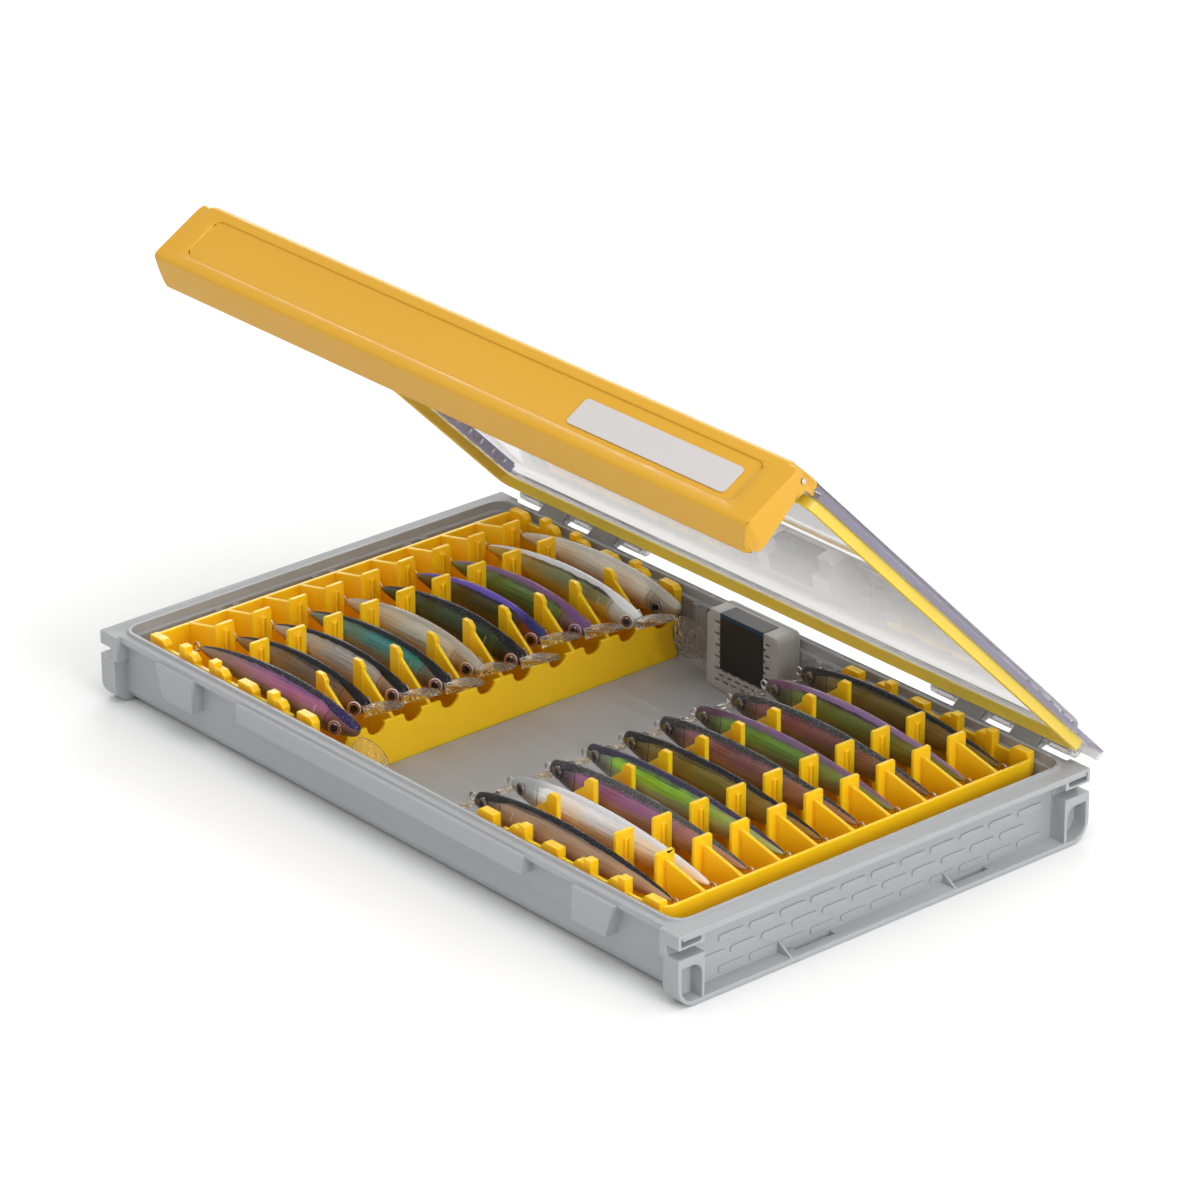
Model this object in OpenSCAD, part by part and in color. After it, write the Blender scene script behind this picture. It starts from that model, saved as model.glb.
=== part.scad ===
/* [Base] */
// Width over the corner posts
base_w = 356; // [340:1:372]
// Depth over the corner posts
base_d = 215; // [209:1:221]
// Height of the base to the top of its ledge
base_h = 31; // [30:0.5:33]
// Thickness of the base walls
wall = 2.4; // [2:0.1:2.8]
// Thickness of the base floor
floor_t = 2.2; // [1.8:0.1:2.6]

/* [Lid] */
// Angle that the lid stands open in the rest pose
lid_open = 45; // [20:1:60]
// Height of the closed lid above the ledge
lid_rise = 11.5; // [10.5:0.1:13]
// Thickness of the clear panel
lid_t = 1.8; // [1.4:0.1:2.2]
// Height of the seal ring
seal_h = 4.3; // [3.8:0.1:4.6]

/* [Latch] */
// Height of the latch's section from its top to its lower lip
latch_span = 40; // [38:0.5:41]
// Thickness of the latch's skin
latch_t = 1.8; // [1.5:0.1:2]
// Radius of the rod that the latch swings on
rod_r = 1.1; // [0.9:0.05:1.2]

/* [Racks] */
// Distance from the middle of the box to a rack's inner wall
rack_in = 49; // [47:0.5:52]
// Drop of the inner wall below the tops of the posts
rack_in_drop = 18; // [16:0.5:20]
// Thickness of the rack's walls
rack_t = 1.6; // [1.2:0.1:1.8]

/* [Lures] */
// Height of a lure's back above its nose line
lure_rise = 9.4; // [8.4:0.1:10]
// Depth of a lure's belly below its nose line
lure_sag = 7.6; // [6.6:0.1:7.8]

/* [Desiccant] */
// Width of the desiccant case
case_w = 43; // [36:0.5:48]
// Thickness of the desiccant case, front to back
case_d = 12.6; // [10:0.2:14]
// Height of the desiccant case
case_h = 35.1; // [30:0.1:37]

/* [Hidden] */

// Shared clearances and steps
over = 1;
fit = 0.05;
gap = 0.3;
corner_steps = 8;
small_steps = 4;
round_fn = 48;
small_fn = 32;
wire_fn = 16;
half_turn = 180;

// Tub and ledge of the base
post_w = 8;
bar_out = 6.5;
tub_x = base_w / 2 - post_w;
tub_y = base_d / 2 - bar_out;
tub_edge_r = 7;
tub_corner_r = 8;
cavity_edge_r = 5;
ledge_t = 2.8;
ledge_back = 2.1;
ledge_x = base_w / 2;
ledge_y = base_d / 2 - ledge_back;
mouth_step = 2;
mouth_depth = 2.5;
mouth_x = tub_x - wall + mouth_step;
mouth_y = tub_y - wall + mouth_step;
lip_ring_t = 1.6;
lip_ring_h = 1.4;
lip_step_t = 0.5;
lip_step_h = 0.7;
plinth_t = 2.2;
plinth_slit_w = 3.2;
plinth_rib_t = 1.2;
plinth_rib_h = 5;
plinth_slit_shares = [[-0.158, 0.093], [0.2233, 0.0837]];
plinth_rib_shares = [-0.2326, 0.1674];

// Corner posts
post_len = 13.3;
post_drop = 11.2;
post_inset = 3;
post_corner_r = 9;
post_skin = 1.5;
pocket_back = 1.2;
slot_pocket = [10, 3.6];
slot_pocket_z = 26;
slot_pocket_r = 1.2;
notch_h = 4.2;
notch_z = 20.9;
dee_pocket = [10.1, 15];
dee_pocket_z = 2;
dee_pocket_r = 4.5;

// Front catch bar and the wedges beside it
bar_w_share = 0.4944;
bar_w = base_w * bar_w_share;
bar_h = 8;
bar_drop = 1.3;
wedge_x_share = 0.3287;
wedge_w_share = 0.0674;
wedge_x = base_w * wedge_x_share;
wedge_w = base_w * wedge_w_share;
wedge_slant = 4.5;
wedge_top = 2;
wedge_h = 14.5;

// Ribs inside the side and back walls
side_rib_shares = [-0.2326, 0.0047, 0.2372];
side_rib_pitch = 9;
rib_w = 3.2;
rib_out = 1;
rib_drop = 3.1;
back_rib_gaps = [11.5, 20.5];

// Hinge
hinge_out = 3.5;
hinge_up = 2;
hinge_y = base_d / 2 + hinge_out;
hinge_z = base_h + hinge_up;
knuckle_side = 11;
knuckle_w = 16;
knuckle_count = 5;
knuckle_x = base_w / 2 - knuckle_side - knuckle_count * knuckle_w;
knuckle_gap = 0.3;
knuckle_r = 2.9;
pin_r = 1;
window_w = 11;
web_foot_shares = [-2.1, -1.59];
web_under_share = -1;
web_neck_shares = [-0.9, 0.41];

// Lid, drawn shut and then swung open
lid_side_set = 7.5;
lid_x = base_w / 2 - lid_side_set;
lid_front_set = 0.5;
lid_front = ledge_y - lid_front_set;
lid_rear_set = 3;
lid_rear = ledge_y - lid_rear_set;
lid_r = 5;
lid_edge_r = 2.4;
lid_top = base_h + lid_rise;
flange_side = 1;
flange_x = base_w / 2 - flange_side;
flange_t = 2.4;
flange_z = base_h + gap + seal_h;
shelf_t = 1.7;
shelf_rear = 2;
ear_w = 9.5;
ear_t = 1.6;
ear_drop = 2.9;
arm_shares = [0.0562, 0.2303, 0.4045];
arm_w = 8;
arm_t = 2.9;
arm_low = 3.4;
arm_r = 2.4;
lid_rib_shares = [0.2698, 0.3116, 0.3535, 0.3953, 0.4372];
lid_rib_t = 1;

// Seal ring
seal_t = 3;
seal_side = 3;
seal_x = base_w / 2 - seal_side;
seal_y = ledge_y - 2 * gap;
seal_r = 6;

// Latch, its section given about the rod while the lid is shut
rod_out = 8.9;
rod_rise = 6.1;
rod_y = -base_d / 2 - rod_out;
rod_z = base_h + rod_rise;
latch_side_gap = 1;
latch_len = base_w - 2 * latch_side_gap;
latch_shares = [
    [-0.1375, 0.11, 0.075], [0.2475, 0.125, 0.02], [0.2675, -0.0125, 0.02],
    [0.085, -0.055, 0.03], [0.0425, -0.2225, 0.2], [0.0225, -0.7475, 0.05],
    [-0.0475, -0.855, 0.04], [-0.3375, -0.6575, 0.06]];
latch_corner_r = 8;
latch_rib_shares = [0.144, 0.3192, 0.4746];
latch_rib_t = 2;
latch_rib_r = 2.5;
inset_depth = 0.6;
inset_margin = 5.5;
inset_margin_side = 14;
hook_t = 1.8;
hook_clear = 0.7;
hook_drop = 0.5;
hook_side = 2;
hook_root_share = 0.75;
latch_close_angle = 8;
label_w_share = 0.2486;
label_x_share = 0.3178;
label_w = latch_len * label_w_share;
label_x = latch_len * label_x_share;
label_h_share = 0.325;
label_s_share = 0.4325;
label_h = latch_span * label_h_share;
label_t = 0.5;
label_s = latch_span * label_s_share;
label_r = 2;

// Racks
slot_count = 10;
rack_side_gap = 1.6;
rack_end_gap = 8.6;
rack_y = tub_y - wall - rack_side_gap;
rack_w = tub_x - wall - rack_end_gap - rack_in;
slot_pitch = 2 * (rack_y - rack_t) / slot_count;
rack_r = 5;
post_gap = 0.7;
post_top = lid_top - lid_t - post_gap;
rack_out_drop = 8.2;
rack_wall_drop = 10;
rack_tab_drop = 6.3;
rack_out_top = post_top - rack_out_drop;
rack_wall_top = post_top - rack_wall_drop;
rack_tab_top = post_top - rack_tab_drop;
rack_in_top = post_top - rack_in_drop;
notch_share = 0.241;
notch_r = slot_pitch * notch_share;
divider_t = 1.6;
head_share = 0.2;
head_x = rack_w * head_share;
head_w = 6;
head_t = 2.2;
head_shoulder = 4;
head_tip_share = 0.17;
mid_share = 0.5635;
mid_w_share = 0.48;
mid_x = rack_w * mid_share;
mid_w = slot_pitch * mid_w_share;
mid_t = 1.7;
tail_share = 0.7727;
tail_w_share = 0.472;
tail_x = rack_w * tail_share;
tail_w = slot_pitch * tail_w_share;
tail_t = 1.7;
tail_step = 3;
post_rib_t = 1.2;
post_rib_w = 2;
tab_shares = [0.059, 0.232, 0.405, 0.577, 0.755, 0.932];
tab_w = 10;
tab_peak_w = 4;
tab_t = 3;
tab_out = 0.9;
tab_slope = 2;
tab_hole_r = 0.7;
tab_hole_drop = 3;

// Lures
lure_sides = 12;
lure_rings = 12;
lure_t_share = 0.535;
lure_t = slot_pitch * lure_t_share;
lure_nose_drop = 3;
big_lure_lift = 2;
lure_back_share = 0.4;
lure_nose_z = base_h - lure_nose_drop;
lure_start_share = 0.03;
lure_end_share = 0.985;
right_nose_share = -0.1455;
right_tail_share = 0.9318;
left_tail_share = 0.8273;
left_nose_shares = [-0.1427, 0.02, 0.0145, -0.0236, 0.0082, -0.0418, 0.0491, 0, -0.0973, -0.1227];
right_nose_x = rack_in + rack_w * right_nose_share;
right_tail_x = rack_in + rack_w * right_tail_share;
left_tail_x = rack_in + rack_w * left_tail_share;
left_nose_x = [for (share = left_nose_shares) rack_in + rack_w * share];
ring_r = 1.7;
ring_wire_r = 0.35;
ring_reach = ring_r + ring_wire_r + gap;
bill_len = 21;
bill_w = 12;
bill_rise = 1.5;
bill_angle = 18;
bill_root_in = 1.2;
bill_root_t = 5;
bill_mid_share = 0.5;
bill_mid_t = 2.4;
bill_tip_t = 1;
bill_taper_share = 0.15;
lip_t = 1;
lip_angle = 18;
big_lip_len = 19;
big_lip_w = 16;
big_lip_angle = 49;
lip_back = 3;
lip_points = 24;
lip_neck_share = 0.25;
small_lip_len = 9;
small_lip_w = 8;

// Desiccant box
case_wall = 1.2;
case_r = 2.6;
case_floor = 3.6;
case_back_t = 2;
case_z = floor_t;
case_y = tub_y - wall - gap;
case_front = case_y - case_d;
vent_w = 3.2;
vent_h = 0.9;
vent_pitch = 5;
vent_row = 2.6;
vent_rows = 11;
vent_cols = 7;
vent_low = 4;
sticker_w = 26;
sticker_h = 25;
sticker_t = 0.3;
sticker_top = 8.5;

// Points of an outline given as corners [x, y, radius], each rounded by its radius
function unit(v) = v / norm(v);
function corner(p, a, b, r, n) =
    let (u = unit(a - p), v = unit(b - p), half = acos(u * v) / 2,
         m = p + unit(u + v) * r / sin(half),
         s = p + u * r / tan(half) - m, e = p + v * r / tan(half) - m,
         from = atan2(s[1], s[0]),
         turn = (atan2(e[1], e[0]) - from + 3 * half_turn) % (2 * half_turn) - half_turn)
    [for (k = [0:n]) m + r * [cos(from + turn * k / n), sin(from + turn * k / n)]];
function flat(c, i) = let (q = c[(i + len(c)) % len(c)]) [q[0], q[1]];
function rounded(c, n = corner_steps) =
    [for (i = [0:len(c) - 1])
        each c[i][2] == 0 ? [flat(c, i)] : corner(flat(c, i), flat(c, i - 1), flat(c, i + 1), c[i][2], n)];
function box_corners(x0, x1, y0, y1, r) = [[x0, y0, r], [x1, y0, r], [x1, y1, r], [x0, y1, r]];

// Upright plate with rounded corners
module plate(x0, x1, y0, y1, z0, z1, r = 0)
    translate([0, 0, z0]) linear_extrude(z1 - z0) polygon(rounded(box_corners(x0, x1, y0, y1, r)));

// Outline in Y and Z, drawn out along X
module bar_along_x(x0, x1, outline)
    translate([x0, 0, 0]) rotate([90, 0, 90]) linear_extrude(x1 - x0) polygon(outline);

// Outline in X and Z, drawn out along Y
module bar_along_y(y0, y1, outline)
    translate([0, y1, 0]) rotate([90, 0, 0]) linear_extrude(y1 - y0) polygon(outline);

// Rod along X
module rod_along_x(x0, x1, y, z, r)
    translate([x0, y, z]) rotate([0, 90, 0]) cylinder(h = x1 - x0, r = r, $fn = round_fn);

// Both sides of the box, and all four corners
module both_sides() for (m = [0, 1]) mirror([m, 0, 0]) children();
module four_corners() for (m = [0, 1], n = [0, 1]) mirror([m, 0, 0]) mirror([0, n, 0]) children();

// What turns with the lid, drawn shut
module on_lid()
    translate([0, hinge_y, hinge_z]) rotate([-lid_open, 0, 0]) translate([0, -hinge_y, -hinge_z]) children();

// Block with rounded upright corners and rounded lower edges at front and back
module tub(x0, x1, y, z0, z1, edge_r, corner_r) intersection() {
    bar_along_x(x0, x1, rounded([[-y, z0, edge_r], [y, z0, edge_r], [y, z1, 0], [-y, z1, 0]]));
    plate(x0, x1, -y, y, z0, z1, corner_r);
}

// Base
module corner_post() difference() {
    union() {
        bar_along_x(tub_x - over, base_w / 2, rounded([
            [base_d / 2 - post_len, 0, 0], [base_d / 2, 0, post_corner_r],
            [base_d / 2, base_h, 0], [base_d / 2 - post_len, base_h, 0]]));
        plate(tub_x - post_inset, tub_x, tub_y - over, base_d / 2, base_h - post_drop, base_h);
    }
    translate([tub_x + post_skin, base_d / 2 - post_len + post_skin + gap, slot_pocket_z])
        bar_along_x(0, post_w, rounded([
            [0, 0, slot_pocket_r], [slot_pocket[0], 0, 0],
            [slot_pocket[0], slot_pocket[1], 0], [0, slot_pocket[1], 0]], small_steps));
    plate(tub_x + pocket_back, base_w / 2 + over, base_d / 2 - post_len - over, base_d / 2 + over,
        notch_z, notch_z + notch_h);
    translate([tub_x + post_skin, base_d / 2 - post_len + post_skin, dee_pocket_z])
        bar_along_x(0, post_w, rounded([
            [0, 0, 0], [dee_pocket[0], 0, dee_pocket_r + dee_pocket_z],
            [dee_pocket[0], dee_pocket[1], 0], [0, dee_pocket[1], dee_pocket_r]]));
}

module plinth() difference() {
    plate(tub_x - wall, base_w / 2, -base_d / 2 + post_len, base_d / 2 - post_len, 0, plinth_t);
    for (s = plinth_slit_shares) translate([tub_x + gap, base_d * s[0], 0])
        plate(0, plinth_slit_w, -base_d * s[1] / 2, base_d * s[1] / 2, -over, plinth_t + over);
}

module plinth_rib(y)
    bar_along_y(y - plinth_rib_t / 2, y + plinth_rib_t / 2, [
        [tub_x - over, 0], [base_w / 2, 0], [base_w / 2, plinth_t], [tub_x, plinth_t + plinth_rib_h],
        [tub_x - over, plinth_t + plinth_rib_h]]);

module wedge_panel()
    translate([0, -tub_y + over, 0]) rotate([90, 0, 0]) linear_extrude(bar_out + over) polygon([
        [wedge_x, base_h - wedge_top], [wedge_x + wedge_w, base_h - wedge_top],
        [wedge_x + wedge_w - wedge_slant, base_h - wedge_top - wedge_h],
        [wedge_x, base_h - wedge_top - wedge_h]]);

function knuckle_start(k) = knuckle_x + k * knuckle_w + knuckle_gap / 2;
function knuckle_end(k) = knuckle_x + (k + 1) * knuckle_w - knuckle_gap / 2;

module grey_knuckle(x0, x1) difference() {
    union() {
        rod_along_x(x0, x1, hinge_y, hinge_z, knuckle_r);
        bar_along_x(x0, x1, [
            [hinge_y + knuckle_r * web_foot_shares[0], hinge_z + knuckle_r * web_foot_shares[1]],
            [hinge_y, hinge_z + knuckle_r * web_under_share],
            [hinge_y, hinge_z],
            [hinge_y + knuckle_r * web_neck_shares[0], hinge_z + knuckle_r * web_neck_shares[1]],
            [ledge_y - over / 2, base_h]]);
    }
    rod_along_x(x0 - over, x1 + over, hinge_y, hinge_z, pin_r + fit);
}

module ledge_ring() difference() {
    union() {
        plate(-mouth_x - lip_ring_t, mouth_x + lip_ring_t, -mouth_y - lip_ring_t, mouth_y + lip_ring_t,
            base_h - over, base_h + lip_ring_h, tub_corner_r);
        plate(-mouth_x - lip_ring_t - lip_step_t, mouth_x + lip_ring_t + lip_step_t,
            -mouth_y - lip_ring_t - lip_step_t, mouth_y + lip_ring_t + lip_step_t,
            base_h - over, base_h + lip_step_h, tub_corner_r + lip_step_t);
    }
    plate(-mouth_x, mouth_x, -mouth_y, mouth_y, base_h - 2 * over, base_h + lip_ring_h + over,
        tub_corner_r - lip_ring_t);
}

module base() color("slategray") {
    difference() {
        union() {
            tub(-tub_x, tub_x, tub_y, 0, base_h, tub_edge_r, post_skin);
            plate(-ledge_x, ledge_x, -ledge_y, ledge_y, base_h - ledge_t, base_h);
            both_sides() plinth();
            four_corners() corner_post();
            plate(-bar_w / 2, bar_w / 2, -base_d / 2, -tub_y + over,
                base_h - bar_drop - bar_h, base_h - bar_drop);
            both_sides() wedge_panel();
        }
        tub(-tub_x + wall, tub_x - wall, tub_y - wall, floor_t, base_h + over,
            cavity_edge_r, tub_corner_r - wall);
        plate(-mouth_x, mouth_x, -mouth_y, mouth_y, base_h - mouth_depth, base_h + over,
            tub_corner_r - lip_ring_t);
    }
    ledge_ring();
    both_sides() {
        for (share = plinth_rib_shares) plinth_rib(base_d * share);
        for (share = side_rib_shares, s = [-1, 1]) {
            y = base_d * share + s * side_rib_pitch / 2;
            plate(tub_x - wall - rib_out, tub_x - wall + over / 2, y - rib_w / 2, y + rib_w / 2,
                floor_t, base_h - rib_drop);
        }
        for (x = back_rib_gaps) translate([case_w / 2 + x, 0, 0])
            plate(-rib_w / 2, rib_w / 2, tub_y - wall - rib_out, tub_y - wall + over / 2,
                floor_t, base_h - rib_drop);
        for (k = [1:2:knuckle_count - 1]) grey_knuckle(knuckle_start(k), knuckle_end(k));
    }
}

module hinge_pin() color("silver")
    rod_along_x(knuckle_x, knuckle_x + knuckle_count * knuckle_w, hinge_y, hinge_z, pin_r);

// Lid
module lid_block(inset, z0, z1, edge_r) {
    x = lid_x - inset;
    y0 = -lid_front + inset;
    y1 = lid_rear - inset;
    middle_r = lid_r - edge_r / 4;
    hull() for (cx = [-x + lid_r, x - lid_r], cy = [y0 + lid_r, y1 - lid_r]) translate([cx, cy, 0]) {
        translate([0, 0, z0]) cylinder(h = z1 - edge_r - z0, r = lid_r, $fn = small_fn);
        translate([0, 0, z1 - edge_r]) cylinder(h = edge_r / 2, r1 = lid_r, r2 = middle_r, $fn = small_fn);
        translate([0, 0, z1 - edge_r / 2])
            cylinder(h = edge_r / 2, r1 = middle_r, r2 = lid_r - edge_r, $fn = small_fn);
    }
}

module clear_knuckle(x0, x1) difference() {
    union() {
        rod_along_x(x0, x1, hinge_y, hinge_z, knuckle_r);
        bar_along_x(x0, x1, [
            [hinge_y - knuckle_r, hinge_z], [hinge_y + shelf_rear, hinge_z],
            [hinge_y + shelf_rear, flange_z + flange_t - shelf_t + fit],
            [hinge_y - knuckle_r, flange_z + flange_t - shelf_t + fit]]);
    }
    rod_along_x(x0 - over, x1 + over, hinge_y, hinge_z, pin_r + fit);
    plate((x0 + x1 - window_w) / 2, (x0 + x1 + window_w) / 2, hinge_y - 2 * knuckle_r, hinge_y,
        hinge_z - 2 * knuckle_r, hinge_z + knuckle_r + gap);
}

module latch_arm(x) difference() {
    union() {
        bar_along_x(x - arm_w / 2, x + arm_w / 2, [
            [rod_y, rod_z - arm_low], [-lid_front, rod_z - arm_low], [-lid_front, flange_z],
            [-lid_front + over, flange_z], [-lid_front + over, rod_z - arm_low + arm_t],
            [rod_y, rod_z - arm_low + arm_t]]);
        rod_along_x(x - arm_w / 2, x + arm_w / 2, rod_y, rod_z, arm_r);
    }
    rod_along_x(x - arm_w, x + arm_w, rod_y, rod_z, rod_r + fit);
}

module lid() color("lightsteelblue", 0.45) on_lid() {
    difference() {
        union() {
            lid_block(0, flange_z, lid_top, lid_edge_r);
            plate(-flange_x, flange_x, -lid_front, ledge_y, flange_z, flange_z + flange_t, 0);
            plate(-flange_x, flange_x, ledge_y - over, hinge_y + shelf_rear,
                flange_z + flange_t - shelf_t, flange_z + flange_t, 0);
            both_sides() plate(flange_x - ear_w, flange_x, hinge_y + shelf_rear - ear_t, hinge_y + shelf_rear,
                flange_z + flange_t - shelf_t - ear_drop, flange_z + flange_t);
            both_sides() for (share = lid_rib_shares) translate([0, base_d * share, 0])
                plate(lid_x - over, lid_x + lid_edge_r, -lid_rib_t / 2, lid_rib_t / 2,
                    flange_z, lid_top - lid_edge_r);
        }
        lid_block(lid_t, flange_z - over, lid_top - lid_t, lid_edge_r / 2);
    }
    both_sides() {
        for (share = arm_shares) latch_arm(base_w * share);
        for (k = [0:2:knuckle_count - 1]) clear_knuckle(knuckle_start(k), knuckle_end(k));
    }
}

module lid_seal() color("gold") on_lid() difference() {
    plate(-seal_x, seal_x, -seal_y, seal_y, base_h + gap, flange_z, seal_r);
    plate(-seal_x + seal_t, seal_x - seal_t, -seal_y + seal_t / 2, seal_y - seal_t / 2,
        base_h, flange_z + over, seal_r - seal_t / 2);
}

module latch_rod() color("silver") on_lid()
    rod_along_x(-latch_len / 2, latch_len / 2, rod_y, rod_z, rod_r);

// Latch
function latch_corner(i) = latch_span * latch_shares[i];
function latch_outline() = [for (i = [0:len(latch_shares) - 1]) latch_corner(i)];
latch_front_a = latch_corner(0);
latch_lip = latch_corner(6);
latch_front_b = latch_corner(7);
latch_front_len = norm([latch_front_b[0] - latch_front_a[0], latch_front_b[1] - latch_front_a[1]]);
latch_flare = atan2(latch_front_a[0] - latch_front_b[0], latch_front_a[1] - latch_front_b[1]);
latch_face_len = (latch_front_a[1] - latch_lip[1]) * cos(latch_flare)
    + (latch_front_a[0] - latch_lip[0]) * sin(latch_flare);

// Frame of the latch's front face: X along the box, Y down the face, Z into the latch
module on_front_face()
    translate([0, rod_y + latch_front_a[0], rod_z + latch_front_a[1]])
        rotate([-90 - latch_flare, 0, 0]) children();

module latch_section(x0, x1)
    translate([0, rod_y, rod_z]) bar_along_x(x0, x1, rounded(latch_outline()));

module latch_hollow(x0, x1) {
    a = latch_front_a;
    b = latch_front_b;
    deep = latch_t / cos(latch_flare);
    translate([0, rod_y, rod_z]) bar_along_x(x0, x1, rounded([
        [a[0] + deep, a[1] - latch_t, latch_t],
        [latch_span, a[1] - latch_t + (latch_corner(1)[1] - a[1]), 0],
        [latch_span, b[1], 0],
        [latch_lip[0] + latch_t, latch_lip[1] + latch_t, 0],
        [b[0] + deep + latch_t / 2, b[1] + latch_t, latch_t]]));
}

module latch() color("goldenrod") on_lid() difference() {
    union() {
        intersection() {
            difference() {
                latch_section(-latch_len / 2, latch_len / 2);
                latch_hollow(-latch_len / 2 + latch_t, latch_len / 2 - latch_t);
            }
            on_front_face() plate(-latch_len / 2, latch_len / 2, -latch_span / 4, latch_face_len,
                -latch_span, 2 * latch_span, latch_corner_r);
        }
        both_sides() for (share = latch_rib_shares) translate([latch_len * share, rod_y, rod_z])
            intersection() {
                bar_along_x(-latch_rib_t / 2, latch_rib_t / 2, [
                    [-latch_span, -latch_rib_r], [latch_rib_r, -latch_rib_r],
                    [latch_rib_r, latch_span], [-latch_span, latch_span]]);
                bar_along_x(-latch_rib_t, latch_rib_t, rounded(latch_outline()));
            }
        latch_hook();
    }
    rod_along_x(-latch_len, latch_len, rod_y, rod_z, rod_r + fit);
    on_front_face() plate(-latch_len / 2 + inset_margin_side, latch_len / 2 - inset_margin_side,
        inset_margin, latch_front_len - inset_margin, -over, inset_depth, latch_corner_r / 2);
}

// The hook's nose stands in front of the catch bar, and swings under it as the latch closes
module latch_hook() {
    nose_y = -base_d / 2 - hook_clear;
    nose_z = base_h - bar_drop - bar_h - hook_drop
        - (nose_y - rod_y) * sin(latch_close_angle);
    plate(-bar_w / 2 + hook_side, bar_w / 2 - hook_side, rod_y + latch_front_b[0] * hook_root_share, nose_y,
        nose_z - hook_t, nose_z);
}

module label_insert() color("whitesmoke") on_lid() on_front_face()
    plate(label_x - label_w / 2, label_x + label_w / 2, label_s - label_h / 2, label_s + label_h / 2,
        inset_depth - label_t, inset_depth, label_r);

// Racks, drawn for the right side: X runs outward from the inner wall
function divider_y(i) = (i - (slot_count - 2) / 2) * slot_pitch;
function slot_y(i) = (i - (slot_count - 1) / 2) * slot_pitch;

module divider(y) {
    bar_along_y(y - divider_t / 2, y + divider_t / 2, [
        [rack_t / 2, floor_t + rack_t / 2], [rack_w - rack_t / 2, floor_t + rack_t / 2],
        [rack_w - rack_t / 2, rack_out_top], [tail_x + tail_t, post_top - tail_step],
        [tail_x, post_top - tail_step], [tail_x, rack_in_top], [head_x + head_w / 2, rack_in_top],
        [head_x + head_w / 2, post_top - tail_step],
        [head_x - head_w / 2, post_top - head_shoulder], [rack_t / 2, rack_in_top]]);
    bar_along_y(y - head_t / 2, y + head_t / 2, [
        [head_x - head_w / 2, floor_t + rack_t / 2], [head_x + head_w / 2, floor_t + rack_t / 2],
        [head_x + head_w / 2, post_top], [head_x - head_w * head_tip_share, post_top],
        [head_x - head_w / 2, post_top - head_shoulder / 2]]);
    post(mid_x, mid_t, y, mid_w);
    post(tail_x, tail_t, y, tail_w);
}

// A flat post that faces along the box, with a rounded top and a rib on each face
module post(x, t, y, w) {
    bar_along_x(x, x + t, rounded([
        [y - w / 2, floor_t + rack_t / 2, 0], [y + w / 2, floor_t + rack_t / 2, 0],
        [y + w / 2, post_top, t / 2], [y - w / 2, post_top, t / 2]], small_steps));
    plate(x - post_rib_t, x + t + post_rib_t, y - post_rib_w / 2, y + post_rib_w / 2,
        floor_t + rack_t / 2, post_top - tail_step);
}

module rack_tab(x, peaked)
    bar_along_y(rack_y - tab_t, rack_y + tab_out, [
        [x - tab_w / 2, rack_in_top + tab_slope], [x + tab_w / 2, rack_in_top + tab_slope],
        [x + tab_w / 2, peaked ? rack_tab_top + tab_slope : rack_tab_top],
        [x + tab_w / 2 - tab_peak_w, peaked ? rack_tab_top + tab_slope : rack_tab_top],
        [x + tab_w / 2 - tab_peak_w, rack_tab_top], [x - tab_w / 2 + tab_slope, rack_tab_top],
        [x - tab_w / 2, rack_tab_top - tab_slope]]);

module rack() {
    difference() {
        union() {
            rack_walls();
            for (s = [0, 1], k = [0:len(tab_shares) - 1])
                mirror([0, s, 0]) rack_tab(rack_w * tab_shares[k], k == 1 || k == 3 || k == 4);
        }
        for (share = tab_shares)
            translate([rack_w * share, rack_y + tab_out + over, rack_wall_top - tab_hole_drop])
                rotate([90, 0, 0])
                    cylinder(h = 2 * (rack_y + tab_out + over), r = tab_hole_r, $fn = small_fn / 2);
    }
    for (i = [0:slot_count - 2]) divider(divider_y(i));
}

module rack_walls() difference() {
    tub(0, rack_w, rack_y, floor_t, rack_out_top, cavity_edge_r, rack_r);
    tub(rack_t, rack_w - rack_t, rack_y - rack_t, floor_t + rack_t, rack_out_top + over,
        cavity_edge_r - rack_t, rack_r - rack_t);
    plate(-over, head_x - head_w, -rack_y - over, rack_y + over, rack_wall_top - tab_slope, post_top);
    plate(-over, rack_w - rack_r, -rack_y - over, rack_y + over, rack_wall_top, post_top);
    plate(-over, rack_r, -rack_y - over, rack_y + over, rack_in_top, post_top);
    for (i = [0:slot_count - 1])
        translate([-over, slot_y(i), rack_in_top]) rotate([0, 90, 0])
            cylinder(h = rack_t + 2 * over, r = notch_r, $fn = round_fn);
}

module rack_right() color("gold") translate([rack_in, 0, 0]) rack();
module rack_left() color("gold") rotate([0, 0, 180]) translate([rack_in, 0, 0]) rack();

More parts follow.
